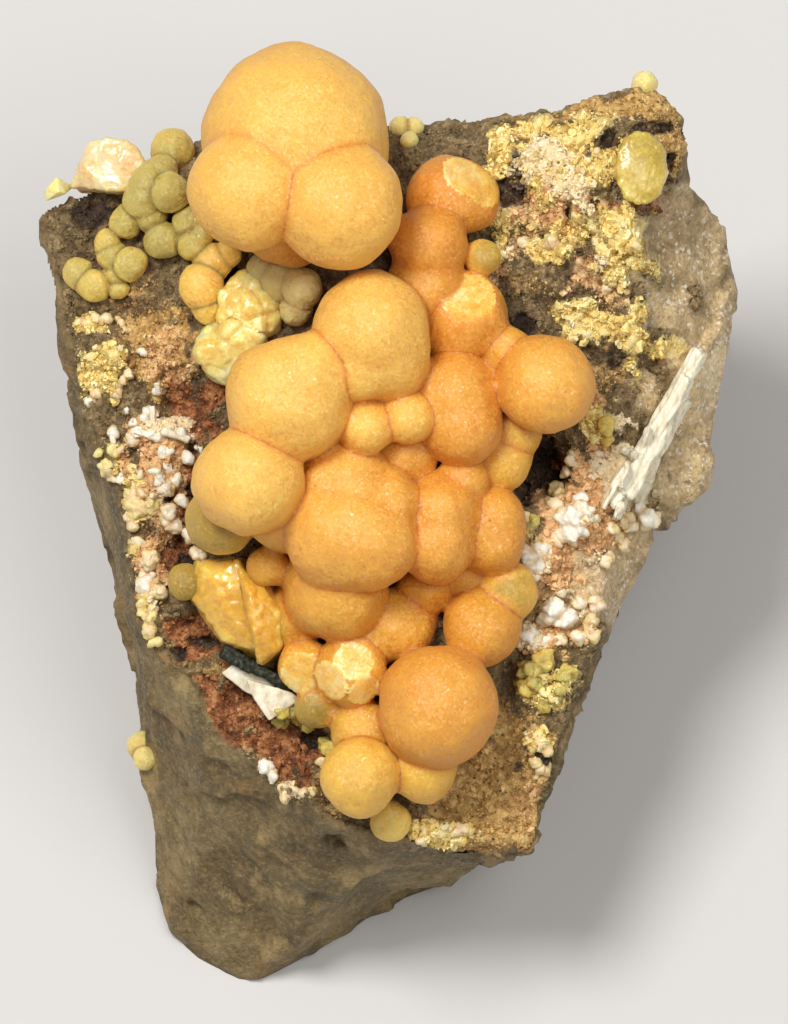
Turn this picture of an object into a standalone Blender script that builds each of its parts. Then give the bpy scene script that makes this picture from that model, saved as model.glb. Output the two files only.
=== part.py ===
"""A mimetite specimen: orange balls of mimetite grown together on a wedge of grey quartz rock.

The rock lies on its broad flat break, so its base is the ground, z = 0. Every place on the
mineral face is given in the face's own drawing plane, which leans back from the horizontal:
across (to the right), along (up the face) and out (straight off the face), in millimetres.
"""

import math

import bmesh
import bpy
import numpy as np
from mathutils import Vector, noise
from mathutils.bvhtree import BVHTree

MM = 0.001
SLANT = math.radians(20.0)  # the drawing plane's lean from the horizontal
LIFT = 22.0  # height of the drawing plane's centre above the ground
CENTRE_X = 0.26  # moves the middle of the whole specimen's box over the origin
CENTRE_Y = -2.3
GAP = 0.2  # free space between a mineral and the rock that it sits on

# The drawing plane's own axes: across, along and out, one in each row.
AXES = np.array([
    (1.0, 0.0, 0.0),
    (0.0, math.cos(SLANT), math.sin(SLANT)),
    (0.0, -math.sin(SLANT), math.cos(SLANT)),
])
MIDDLE_POINT = np.array([CENTRE_X, CENTRE_Y, LIFT])

ROCK_CELL = 0.55  # grid on which the rock's skin is found
ROCK_TRIANGLES = 4000
ROCK_FILLET = 0.5  # how softly two blocks of the rock meet
CLUSTER_CELL = 0.34
CLUSTER_TRIANGLES = 3200
FILLET = 0.10  # how softly two balls meet in their crease

# The rock is four broken blocks grown into one another. Each is the hull of its corners:
# points drawn on the face, then points of the ground or the back as (x, y, height).
MAIN_FACE = [
    (-18.9, 16.0, -4.6), (-16.0, 17.2, -4.8), (-12.8, 18.5, -5.0), (-9.9, 19.8, -5.5),
    (0.3, 20.2, -5.5), (5.6, 20.6, -5.0), (-10.2, 17.7, -2.5), (0.3, 18.5, -2.0),
    (5.6, 19.1, -1.5), (-3.4, 13.3, -0.6), (0.3, 4.8, -0.6), (0.3, -6.7, -2.0),
    (-16.9, 8.5, -3.6), (-14.8, 1.7, -3.4), (-12.8, -6.2, -3.6), (-8.9, -12.3, -3.2),
    (-4.9, -15.4, -2.9), (0.3, -17.7, -2.8), (7.2, -17.9, -3.2), (8.1, -14.6, -3.0),
    (8.7, -12.0, -3.0), (10.4, -7.8, -3.0), (11.4, -2.5, -2.6), (12.9, 4.8, -2.4),
    (13.7, 13.3, -2.2),
]
MAIN_GROUND = [
    (-7.0, -14.0, 0), (0.3, -13.3, 0), (2.4, -13.2, 0), (6.2, -9.5, 0), (8.2, -4.0, 0),
    (9.5, 2.0, 0), (11.0, 10.0, 0), (12.0, 18.0, 0), (8.0, 20.5, 0), (-9.0, 20.5, 0),
    (-14.5, 17.0, 0), (-14.9, 9.8, 0), (-13.7, 3.1, 0), (-12.4, -8.1, 0),
]
FOOT_FACE = [
    (-14.1, -2.0, -4.2), (-12.9, -6.2, -3.9), (-9.2, -12.3, -3.5), (-4.9, -15.6, -3.2),
    (0.2, -17.6, -3.4),
]
FOOT_GROUND = [
    (-9.0, -18.0, 0), (-7.6, -18.5, 0), (-5.5, -17.7, 0), (-3.4, -16.2, 0), (0.3, -13.3, 0),
    (0.0, -5.0, 0), (-12.6, -6.0, 0), (-12.6, -9.0, 0), (-12.9, -12.6, 0), (-10.9, -16.4, 0),
]
QUARTZ_FACE = [
    (15.5, 17.1, -4.5), (17.4, 16.3, -6.5), (18.1, 9.8, -7.5), (18.0, 7.0, -7.5),
    (17.3, 3.5, -7.0), (16.1, 1.2, -6.5), (15.3, -0.4, -6.5), (13.8, -0.6, -4.7),
    (12.9, 12.7, -2.9), (13.5, 5.9, -2.9), (15.6, 9.6, -3.8),
]
QUARTZ_BACK = [
    (14.0, 9.0, 3.0), (15.5, 16.0, 3.5), (13.0, 20.5, 3.5), (10.0, 8.0, 0), (11.5, 18.0, 0),
]
LEDGE_FACE = [
    (13.6, -0.9, -5.0), (12.9, -4.0, -5.6), (11.8, -5.9, -5.6), (10.8, -2.5, -3.2),
    (10.2, -6.6, -3.6), (11.9, 0.6, -3.2),
]
LEDGE_BACK = [(9.2, 0.0, 0), (8.3, -4.0, 0), (11.0, 7.0, 0), (12.5, 4.0, 4.0)]
KNOB_FACE = [
    (8.7, 20.6, -2.5), (10.8, 21.9, -2.2), (12.9, 22.7, -2.0), (14.1, 22.4, -2.2),
    (15.1, 21.3, -2.6), (15.4, 19.3, -3.0), (15.4, 17.4, -3.2), (7.7, 16.4, -0.7),
    (10.8, 17.5, -0.2), (13.5, 20.1, -0.6), (12.9, 14.3, -1.3), (8.7, 11.2, -1.3),
    (6.6, 19.0, -1.3), (8.7, 19.0, -8.0), (14.0, 20.0, -8.0), (14.5, 16.3, -8.0),
    (5.0, 20.6, -3.8), (6.8, 21.1, -3.4), (9.3, 21.7, -2.8), (11.3, 22.4, -2.3),
]

# Hollows of the rock: across, along, half width, half length, depth.
HOLLOWS = [
    (7.7, 2.3, 1.3, 1.9, 3.6),  # the dark vug beside the balls
    (-10.4, -6.4, 1.9, 1.3, 1.3),  # rusty pores, lower left
    (-5.4, -11.8, 1.7, 1.2, 1.6),
    (-8.0, -9.6, 1.2, 0.9, 0.9),
    (6.3, -9.0, 1.3, 1.6, 1.6),  # gap under the grey green crystals
    (-11.6, -1.6, 0.9, 0.9, 1.1),
    (-8.6, 12.4, 0.8, 0.8, 0.9),
    (-11.4, 5.4, 1.3, 0.9, 0.7),
    (-13.4, 10.2, 0.9, 0.7, 0.6),
    (13.6, 7.4, 1.0, 0.9, 0.7),
    (8.0, -5.6, 0.9, 0.7, 0.8),
    (6.8, 14.8, 0.8, 1.1, 0.6),
]

# Swells of the rock under its crusts: across, along, half width, half length, height.
SWELLS = [
    (12.2, 13.8, 1.6, 2.2, 0.6),
    (12.4, 9.3, 1.1, 1.9, 0.5),
    (9.4, 17.2, 1.9, 2.0, 0.6),
    (10.8, 4.3, 0.9, 0.9, 0.6),
    (-15.2, 7.9, 1.5, 2.3, 0.6),
    (-13.2, 1.5, 1.0, 1.5, 0.7),
    (-12.3, -2.8, 0.7, 1.0, 0.6),
    (7.9, -8.8, 1.7, 1.4, 0.9),
    (8.6, -3.4, 1.1, 1.6, 0.8),
    (10.2, -0.4, 1.3, 1.0, 0.7),
    (-3.8, -14.6, 0.9, 0.7, 0.5),
    (2.4, -16.6, 1.6, 0.7, 0.5),
    (7.7, -12.6, 0.7, 1.3, 0.5),
    (-5.8, -9.9, 1.0, 0.8, 0.7),
]

# The mimetite balls: across, along, out, radius.
CROWN = [
    (-5.2, 19.7, 2.4, 4.9), (-7.7, 16.9, 5.0, 3.15), (-2.9, 16.1, 5.0, 3.4),
    (-5.4, 16.4, 1.0, 3.4), (-1.9, 15.6, 0.6, 2.2),
]
UPPER_RIGHT = [
    (1.8, 14.1, 1.3, 2.0), (1.6, 11.9, 0.8, 2.1), (3.3, 9.6, 0.9, 1.75),
    (4.7, 13.4, 0.7, 0.95), (5.9, 8.5, 1.1, 1.3), (8.0, 6.7, 2.0, 2.55),
]
MIDDLE = [
    (-1.2, 9.6, 3.4, 3.1), (-0.3, 8.1, 3.3, 2.2), (-1.8, 7.5, 4.1, 1.6),
    (-5.6, 5.9, 3.6, 3.3), (-4.5, 7.2, 4.2, 2.3), (-7.7, 1.6, 3.9, 2.9),
    (-1.4, 4.4, 3.3, 1.4), (0.7, 4.9, 3.1, 1.35), (-2.5, 1.2, 2.0, 2.5),
    (-5.7, 0.0, 1.5, 2.2), (-2.9, -1.1, 2.5, 2.95), (-1.4, -1.5, 2.5, 2.65),
    (-0.4, 0.6, 2.4, 1.7), (0.6, 3.0, 0.9, 1.6), (-4.2, 4.6, 0.4, 3.0),
    (-9.1, -0.4, 0.4, 1.9), (-6.6, -2.9, 0.0, 1.15), (-5.3, -5.4, -1.6, 1.75),
]
RIGHT_SIDE = [
    (2.5, 0.0, 1.3, 2.0), (2.2, -1.7, 1.3, 2.1), (3.6, 1.6, 0.9, 1.3),
    (5.3, -0.4, 0.3, 1.6), (5.1, -1.6, 0.3, 1.7), (3.2, 6.2, 1.7, 2.2),
    (3.5, 4.6, 1.7, 2.1), (5.7, 2.6, -0.3, 1.5), (6.4, 4.4, -0.3, 1.5),
]
LOWER = [
    (-3.1, -4.0, 0.1, 2.75), (0.2, -6.0, -1.2, 2.0), (-1.2, -6.7, -1.2, 1.5),
    (1.6, -4.0, -1.0, 1.45),
    (4.6, -6.1, -0.5, 2.05), (6.0, -4.2, -0.6, 1.5), (3.7, -3.4, -0.9, 1.1),
    (2.3, -10.2, 1.0, 3.15), (-1.8, -14.0, 0.4, 2.05), (-1.6, -11.5, -1.2, 1.7),
    (1.5, -13.7, -0.5, 1.7), (-11.0, -3.7, -2.0, 0.95), (-4.1, -10.3, -1.6, 1.15),
]
CLUSTER = CROWN + UPPER_RIGHT + MIDDLE + RIGHT_SIDE + LOWER

# Balls with a broken side: the ball, then each break's direction and distance from its centre.
BROKEN = [
    ((2.8, 16.7, -0.2, 2.15), [(0.55, 0.55, 0.63, 1.65)]),
    ((3.8, 16.5, -0.1, 1.75), [(0.55, 0.55, 0.63, 1.15)]),
    ((3.8, 10.3, 0.9, 2.25), [(0.05, 0.62, 0.78, 1.69)]),
    ((-2.3, -8.4, -0.3, 1.85), [(-0.7, -0.35, 0.62, 1.45), (0.45, -0.6, 0.66, 1.6),
                                (0.1, 0.35, 0.93, 1.5)]),
    ((-4.7, -8.2, -0.9, 1.4), [(-0.05, -0.5, 0.86, 0.6)]),
]
# The glassy broken lump of the lower left: the corners of its hull.
GLASSY_LUMP = [
    (-10.5, -2.6, -3.2), (-7.8, -2.4, -3.0), (-6.2, -3.8, -2.6), (-5.4, -6.0, -2.4),
    (-6.0, -7.5, -2.6), (-7.0, -8.2, -3.0), (-9.1, -6.8, -3.4), (-10.7, -4.6, -3.4),
    (-10.4, -2.7, -1.4), (-7.9, -2.5, -0.9), (-6.3, -4.0, -0.7), (-5.5, -6.0, -0.7),
    (-6.1, -7.5, -1.0), (-7.0, -8.1, -1.2), (-9.0, -6.8, -1.6), (-10.6, -4.6, -1.8),
    (-8.2, -3.0, -0.1), (-8.3, -4.6, 0.5), (-7.6, -6.2, 0.5), (-7.0, -7.1, -0.2),
    (-7.0, -4.2, 0.2), (-6.2, -5.7, -0.1), (-9.4, -3.6, -0.5),
]

# The smaller growths sit on the rock: across, along, height of the centre above it, radius.
GREEN_CHAIN = [
    (-12.32, 17.89, 1.1, 0.89), (-11.79, 16.84, 1, 1), (-12.95, 17.32, 1, 0.89),
    (-13.21, 16.47, 0.9, 1), (-12.79, 15.53, 0.8, 0.79), (-14.16, 15.32, 0.7, 0.84),
    (-12.16, 14.32, 0.8, 0.95), (-10.84, 15.26, 0.7, 0.79), (-10.53, 14.11, 0.7, 0.79),
    (-10.16, 14.74, 0.5, 0.63), (-15.16, 14.26, 0.6, 0.63), (-14.79, 13.42, 0.6, 0.74),
    (-13.89, 13.05, 0.7, 0.82), (-14.63, 12.53, 0.5, 0.53), (-14.53, 11.74, 0.4, 0.47),
    (-15.05, 12.32, 0.4, 0.47), (-15.84, 11.89, 0.6, 0.82), (-16.74, 12.63, 0.5, 0.79),
    (-11.68, 19.11, 0, 1.16), (-10.2, 11.9, 0.8, 1.15), (-9.58, 13.16, 0.7, 0.95),
    (-8.68, 13.68, 0.6, 0.68), (-9.84, 10.63, 0.5, 0.74),
]
GREY_BALLS = [
    (-6.9, 12.8, 0.6, 0.85), (-5.9, 12.2, 0.8, 1.05), (-4.8, 11.8, 0.9, 1.05),
    (-5.2, 10.6, 0.6, 0.8),
]
BACK_BEADS = [(0.3, 20.3, 0.3, 0.55), (1.1, 20.3, 0.4, 0.48), (0.8, 19.6, 0.4, 0.45)]
RIM_BALL = [(13.2, 22.6, 0.5, 0.7)]
FOOT_BALL = [(-0.2, -16.3, 0.5, 1.1)]
EDGE_NUB = [(-13.4, -12.4, 0.2, 0.75), (-13.2, -13.1, 0.2, 0.6)]

# The split ball with its oval break: middle of the break across, along and over the rock, half
# width, half length, and the break's fall to the right and towards the top.
SPLIT_BALL = (13.0, 18.1, 1.1, 1.35, 1.95, 0.22, 0.12)
# Its rings: share of the oval and depth under the break.
SPLIT_RINGS = [(0.97, 0.0), (1.0, 0.25), (0.94, 0.9), (0.75, 1.5), (0.4, 1.95)]

# Broken lumps, crystals and plates: the hulls of their corners, with the last figure of each
# corner its height over the rock.
CREAM_LUMP = [
    [(-9.1, 11.7, -1), (-8.1, 12.7, -1), (-7.2, 12.8, -1), (-7.0, 12.1, -1), (-5.9, 11.4, -1),
     (-6.0, 9.6, -1), (-9.6, 10.0, -1), (-9.1, 11.6, 1.3), (-8.1, 12.6, 1.1),
     (-7.2, 12.7, 1.2), (-6.0, 11.3, 1.2), (-6.1, 9.7, 1.4), (-7.0, 9.1, 1.9),
     (-8.5, 9.4, 1.9), (-9.3, 10.2, 1.4), (-7.7, 11.2, 2.2), (-7.0, 10.5, 2.2)],
    [(-10.0, 10.1, -1), (-10.6, 8.4, -1), (-10.3, 7.5, -1), (-8.7, 6.5, -1), (-8.0, 7.8, -1),
     (-6.7, 8.1, -1), (-6.7, 9.6, -1), (-9.8, 10.0, 0.9), (-10.5, 8.4, 1.1),
     (-10.1, 7.6, 1.3), (-8.8, 6.7, 1.3), (-8.1, 7.9, 2.2), (-7.0, 8.3, 1.9),
     (-6.9, 9.3, 2.2), (-8.3, 10.0, 2.4), (-9.3, 8.8, 2.1)],
]
HALF_BALL = [
    [(-16.3, 18.2, 1.2), (-16.0, 19.5, 0.6), (-15.2, 19.7, 0.7), (-14.1, 19.6, 0.9),
     (-13.6, 19.2, 1.0), (-13.0, 18.2, 1.2), (-13.6, 17.0, 1.5), (-15.2, 17.0, 1.7),
     (-17.0, 17.2, 0.3), (-16.7, 18.2, 0.1), (-16.6, 17.0, -1.6), (-16.0, 18.9, -1.4),
     (-14.2, 19.1, -1.4), (-13.4, 18.4, -1.4), (-13.6, 16.6, -1.6), (-14.6, 17.0, 1.8)],
]
YELLOW_CRYSTAL = [
    [(-18.5, 16.9, -0.8), (-17.8, 16.6, -0.8), (-16.9, 17.2, -0.8), (-17.3, 16.8, 0.4),
     (-17.8, 17.7, 0.5), (-18.3, 17.1, 0.5), (-17.7, 16.9, 0.9), (-18.4, 16.4, 0.2)],
]
WHITE_PLATE = [
    [(-9.1, -8.5, -0.8), (-8.3, -7.9, -0.8), (-6.3, -9.1, -0.8), (-6.4, -10.2, -0.8),
     (-7.8, -9.5, -0.8), (-9.1, -8.5, 1.0), (-8.3, -7.9, 1.2), (-6.3, -9.1, 1.1),
     (-6.4, -10.2, 0.9), (-7.8, -9.5, 0.9)],
    [(-7.8, -8.8, -0.5), (-5.4, -9.5, -0.5), (-4.9, -9.9, -0.5), (-5.9, -10.4, -0.5),
     (-6.6, -11.0, -0.5), (-7.4, -9.8, -0.5), (-7.8, -8.8, 1.1), (-5.4, -9.5, 0.8),
     (-4.9, -9.9, 0.5), (-5.9, -10.4, 0.6), (-6.6, -11.0, 0.5), (-7.4, -9.8, 0.9)],
]
DARK_CRUST = [
    [(-9.2, -7.6, -0.5), (-8.8, -7.0, -0.5), (-7.3, -8.0, -0.5), (-7.6, -8.5, -0.5),
     (-9.2, -7.6, 0.9), (-8.8, -7.0, 1.0), (-7.3, -8.0, 1.3), (-7.6, -8.5, 1.2)],
    [(-7.9, -7.7, -0.5), (-5.6, -8.8, -0.5), (-5.8, -9.2, -0.5), (-7.8, -8.3, -0.5),
     (-7.9, -7.7, 1.2), (-5.6, -8.8, 1.1), (-5.8, -9.2, 1.0), (-7.8, -8.3, 1.1)],
]
# White blades on the quartz: one end, the other end, half width and height over the rock.
WHITE_BLADES = [
    ((16.3, 8.4), (14.3, 4.4), 0.5, 0.9), ((15.7, 7.2), (13.0, 3.4), 0.5, 1.1),
    ((15.2, 5.9), (12.1, 1.4), 0.6, 0.9), ((14.2, 4.4), (11.6, 0.6), 0.6, 1.0),
    ((13.4, 4.4), (12.8, 2.9), 0.3, 1.5), ((13.3, 2.9), (11.2, 0.4), 0.7, 1.2),
    ((13.3, 1.6), (12.9, -0.4), 0.6, 0.8), ((12.2, 3.1), (13.8, 2.5), 0.45, 0.9),
]


def to_world(points):
    """Points of the drawing plane, in millimetres, as points over the ground in metres."""
    return (np.asarray(points) @ AXES + MIDDLE_POINT) * MM


def to_plane(points):
    """Points over the ground, in metres, as points of the drawing plane in millimetres."""
    return (np.asarray(points) / MM - MIDDLE_POINT) @ AXES.T


def over_ground(x, y, height):
    """A point given by its place on the ground and its height, in the drawing plane."""
    return tuple(to_plane(np.array([x + CENTRE_X, y + CENTRE_Y, height]) * MM))


def material(name, colour, roughness):
    """A plain surface of one mineral."""
    made = bpy.data.materials.new(name)
    made.use_nodes = True
    shader = made.node_tree.nodes["Principled BSDF"]
    shader.inputs["Base Color"].default_value = (*colour, 1.0)
    shader.inputs["Roughness"].default_value = roughness
    shader.inputs["Metallic"].default_value = 0.0
    made.diffuse_color = (*colour, 1.0)
    return made


def ball_solid(ball, breaks=()):
    """A ball as a centre, a radius and the planes of its broken sides."""
    centre = np.array(ball[:3], float)
    planes = []
    for right, up, out, far in breaks:
        normal = np.array((right, up, out), float)
        normal /= np.linalg.norm(normal)
        planes.append((normal, float(normal @ centre) + far))
    return centre, ball[3], planes


def block_solid(corners):
    """The convex block that these corners span, as the planes round it."""
    shape = bmesh.new()
    verts = [shape.verts.new(c) for c in corners]
    bmesh.ops.convex_hull(shape, input=verts)
    bmesh.ops.recalc_face_normals(shape, faces=shape.faces[:])
    planes = {}
    for face in shape.faces:
        normal = np.array(face.normal)
        far = float(normal @ np.array(face.verts[0].co))
        planes[tuple(np.round([*normal, far], 3))] = (normal, far)
    shape.free()
    corners = np.array(corners, float)
    centre = corners.mean(axis=0)
    reach = float(np.linalg.norm(corners - centre, axis=1).max())
    return centre, reach, [planes[key] for key in sorted(planes)]


def field_of(points, solids, fillet=FILLET):
    """How far each point is outside the solids grown together, and which way is out."""
    depths = []
    slopes = []
    for centre, radius, planes in solids:
        towards = points - centre
        lengths = np.linalg.norm(towards, axis=1)
        depth = lengths - radius
        slope = towards / np.maximum(lengths, 1e-6)[:, None]
        for normal, far in planes:
            beyond = points @ normal - far
            above = beyond > depth
            depth = np.where(above, beyond, depth)
            slope = np.where(above[:, None], normal, slope)
        depths.append(depth)
        slopes.append(slope)
    depth = np.stack(depths, axis=1)
    nearest = depth.min(axis=1)
    share = np.exp(-(depth - nearest[:, None]) / fillet)
    total = share.sum(axis=1)
    slope = np.einsum("ps,psk->pk", share / total[:, None], np.stack(slopes, axis=1))
    return nearest - fillet * np.log(total), slope


def skin_of(values, low, cell):
    """The closed skin round the cells below zero, as corners and four-sided faces."""
    inside = values < 0.0
    cells = tuple(n - 1 for n in values.shape)
    hits = np.zeros(cells)
    sums = np.zeros(cells + (3,))
    quads = []
    edges = []
    for axis in range(3):
        side, top = (axis + 1) % 3, (axis + 2) % 3
        near = np.moveaxis(values, (axis, side, top), (0, 1, 2))
        within = np.moveaxis(inside, (axis, side, top), (0, 1, 2))
        crossed = within[:-1] != within[1:]
        gap = np.where(crossed, near[:-1] - near[1:], 1.0)
        share = np.where(crossed, near[:-1] / gap, 0.0)
        steps = np.indices(crossed.shape).astype(float)
        steps[0] += share
        cell_hits = np.moveaxis(hits, (axis, side, top), (0, 1, 2))
        cell_sums = np.moveaxis(sums, (axis, side, top), (0, 1, 2))
        for du in (0, 1):
            for dv in (0, 1):
                window = np.s_[:, du:du + cell_hits.shape[1], dv:dv + cell_hits.shape[2]]
                cell_hits += crossed[window]
                for part, here in enumerate((axis, side, top)):
                    cell_sums[..., here] += np.where(crossed[window], steps[part][window], 0.0)
        edges.append((axis, side, top, crossed, within))
    filled = hits > 0
    number = np.full(cells, -1)
    number[filled] = np.arange(filled.sum())
    corners = low + cell * sums[filled] / hits[filled][:, None]
    for axis, side, top, crossed, within in edges:
        turned = np.moveaxis(number, (axis, side, top), (0, 1, 2))
        a, u, v = np.nonzero(crossed[:, 1:-1, 1:-1])
        u, v = u + 1, v + 1
        ring = np.stack([
            turned[a, u - 1, v - 1], turned[a, u, v - 1], turned[a, u, v], turned[a, u - 1, v],
        ], axis=1)
        outwards = within[a, u, v]
        quads.append(np.where(outwards[:, None], ring, ring[:, ::-1]))
    return corners, np.concatenate(quads)


def box_round(solids, cell):
    """The low corner and the grid's size for these solids, with room to spare."""
    low = np.min([s[0] - s[1] for s in solids], axis=0) - 2.3 * cell
    high = np.max([s[0] + s[1] for s in solids], axis=0) + 2.3 * cell
    return low, tuple(int(n) + 2 for n in (high - low) / cell)


def grid_points(low, counts, cell):
    return low + cell * np.indices(counts).reshape(3, -1).T


def object_of(name, corners, faces):
    mesh = bpy.data.meshes.new(name)
    mesh.from_pydata(to_world(corners).tolist(), [], faces.tolist())
    mesh.update()
    made = bpy.data.objects.new(name, mesh)
    bpy.context.scene.collection.objects.link(made)
    return made


def settled(obj):
    """Replaces the object's mesh by the one that its modifiers make."""
    graph = bpy.context.evaluated_depsgraph_get()
    mesh = bpy.data.meshes.new_from_object(obj.evaluated_get(graph))
    obj.modifiers.clear()
    obj.data = mesh
    return obj


def places_of(mesh):
    """The corners of a mesh as rows of numbers, in metres."""
    places = np.empty(len(mesh.vertices) * 3, np.float32)
    mesh.vertices.foreach_get("co", places)
    return places.reshape(-1, 3).astype(float)


def in_order(obj):
    """Sorts the corners and faces by place, so that every run counts them alike."""
    places = places_of(obj.data)
    order = np.lexsort(np.round(places / MM, 3).T)
    rank = np.empty(len(order), int)
    rank[order] = np.arange(len(order))
    faces = []
    for face in obj.data.polygons:
        ring = [int(rank[i]) for i in face.vertices]
        first = ring.index(min(ring))
        faces.append(tuple(ring[first:] + ring[:first]))
    mesh = bpy.data.meshes.new(obj.name)
    mesh.from_pydata(places[order].tolist(), [], sorted(faces))
    obj.data = mesh
    return obj


def sealed(obj, voxel):
    """Gives the object a fresh closed skin in which no two sheets share an edge."""
    remesh = obj.modifiers.new("Seal", "REMESH")
    remesh.mode = "VOXEL"
    remesh.voxel_size = voxel * MM
    return in_order(settled(obj))


def thinned(obj, triangles):
    """Keeps about this many triangles, where the shape needs them most."""
    obj.data.calc_loop_triangles()
    count = len(obj.data.loop_triangles)
    if count > triangles:
        decimate = obj.modifiers.new("Thin", "DECIMATE")
        decimate.ratio = triangles / count
        settled(obj)
    return obj


def moved_to(mesh, places):
    mesh.vertices.foreach_set("co", places.astype(np.float32).ravel())
    mesh.update()


def normals_of(mesh):
    """The way out at each corner, summed over its faces in a fixed order."""
    places = places_of(mesh)
    mesh.calc_loop_triangles()
    corners = np.empty(len(mesh.loop_triangles) * 3, np.int32)
    mesh.loop_triangles.foreach_get("vertices", corners)
    corners = corners.reshape(-1, 3)
    first, second, third = (places[corners[:, i]] for i in range(3))
    faces = np.cross(second - first, third - first)
    normals = np.zeros_like(places)
    for i in range(3):
        np.add.at(normals, corners[:, i], faces)
    return normals / np.maximum(np.linalg.norm(normals, axis=1), 1e-20)[:, None]


def crumbs_dropped(obj):
    """Keeps only the largest of the object's separate bodies."""
    shape = bmesh.new()
    shape.from_mesh(obj.data)
    shape.verts.index_update()
    seen = [False] * len(shape.verts)
    islands = []
    for first in shape.verts:
        if seen[first.index]:
            continue
        seen[first.index] = True
        island = [first]
        for vert in island:
            for edge in vert.link_edges:
                other = edge.other_vert(vert)
                if not seen[other.index]:
                    seen[other.index] = True
                    island.append(other)
        islands.append(island)
    islands.sort(key=len)
    for island in islands[:-1]:
        bmesh.ops.delete(shape, geom=island, context="VERTS")
    shape.to_mesh(obj.data)
    shape.free()
    return obj


# Where each axis of the ledges' waviness is read in the noise.
SWERVES = [Vector((0.0, 0.0, 0.0)), Vector((31.4, 7.2, 15.9)), Vector((12.6, 43.8, 5.1))]


def weathered(point, normal):
    """Where the rock's surface lies after breaking and weathering, in the drawing plane."""
    across, along, out = point
    here = Vector(point)
    facing = max(0.0, normal[2])
    broad = noise.fractal(here / 7.0, 1.0, 2.0, 3)
    fine = noise.fractal(here / 2.0 + Vector((9, 2, 5)), 1.0, 2.0, 3)
    scoop = noise.voronoi(here / 6.5)[0][0]
    swerve = 0.35 * Vector([noise.noise(here / 3.0 + shift) for shift in SWERVES])
    ledges = noise.cell(Vector((across / 3.1, along / 2.3, out / 1.7)) + swerve)
    moved = np.array(point) + normal * (
        0.3 * broad + (0.12 + 0.26 * facing) * fine + 0.14 * facing * ledges
        + (1.1 - 0.7 * facing) * (scoop - 0.45)
    )
    if facing > 0.2:
        for centre, up, half_width, half_length, depth in HOLLOWS:
            far = math.hypot((across - centre) / half_width, (along - up) / half_length)
            moved[2] -= depth * max(0.0, 1.0 - (far / 1.25) ** 2.5)
        for centre, up, half_width, half_length, height in SWELLS:
            far = math.hypot((across - centre) / half_width, (along - up) / half_length)
            moved[2] += height * max(0.0, 1.0 - (far / 1.1) ** 3) * (0.75 + 0.5 * fine)
    return moved


def cut_flat(obj):
    """Cuts the rock off at the ground and closes the cut with one flat face."""
    shape = bmesh.new()
    shape.from_mesh(obj.data)
    everything = shape.verts[:] + shape.edges[:] + shape.faces[:]
    cut = bmesh.ops.bisect_plane(
        shape, geom=everything, plane_co=(0, 0, 0), plane_no=(0, 0, 1), dist=1e-7,
        clear_inner=True,
    )
    rim = [e for e in cut["geom_cut"] if isinstance(e, bmesh.types.BMEdge)]
    bmesh.ops.contextual_create(shape, geom=rim)
    bmesh.ops.triangulate(shape, faces=shape.faces[:])
    shape.to_mesh(obj.data)
    shape.free()
    obj.data.update()


def make_rock():
    sunk = 1.0  # the blocks reach below the ground, where the break cuts them off flat
    blocks = []
    for face, back in (
        (MAIN_FACE, MAIN_GROUND), (FOOT_FACE, FOOT_GROUND), (QUARTZ_FACE, QUARTZ_BACK),
        (LEDGE_FACE, LEDGE_BACK), (KNOB_FACE, []),
    ):
        corners = list(face) + [over_ground(*b) for b in back]
        corners += [over_ground(x, y, -sunk) for x, y, z in back if z == 0]
        blocks.append(block_solid(corners))
    low, counts = box_round(blocks, ROCK_CELL)
    grid = grid_points(low, counts, ROCK_CELL)
    values = field_of(grid, blocks, ROCK_FILLET)[0].reshape(counts)
    rock = sealed(object_of("quartz_matrix", *skin_of(values, low, ROCK_CELL)), ROCK_CELL)
    ways = normals_of(rock.data) @ AXES.T
    places = to_plane(places_of(rock.data))
    moved = np.array([weathered(tuple(p), way) for p, way in zip(places, ways)])
    moved_to(rock.data, to_world(moved))
    thinned(rock, ROCK_TRIANGLES)
    cut_flat(rock)
    return rock


class Surface:
    """The finished rock, asked how far out it stands and how far a point is from it."""

    FAR = 30.0

    def __init__(self, rock):
        shape = bmesh.new()
        shape.from_mesh(rock.data)
        shape.verts.ensure_lookup_table()
        for vert, place in zip(shape.verts, to_plane(places_of(rock.data))):
            vert.co = place
        shape.normal_update()
        self.tree = BVHTree.FromBMesh(shape)
        shape.free()

    def out_at(self, across, along, missing=-4.0):
        hit = self.tree.ray_cast((across, along, self.FAR), (0, 0, -1))[0]
        return missing if hit is None else hit.z

    def room(self, points):
        """How far each point reaches into the gap kept over the rock, and which way is in."""
        depths = np.empty(len(points))
        slopes = np.empty((len(points), 3))
        for i, point in enumerate(points):
            here = Vector(point)
            hit, normal, _, far = self.tree.find_nearest(here)
            above = (here - hit).dot(normal) > 0.0
            way = (here - hit) if above else (hit - here)
            way = way.normalized() if far > 1e-4 else normal
            depths[i] = GAP - (far if above else -far)
            slopes[i] = -way
        return depths, slopes


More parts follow.
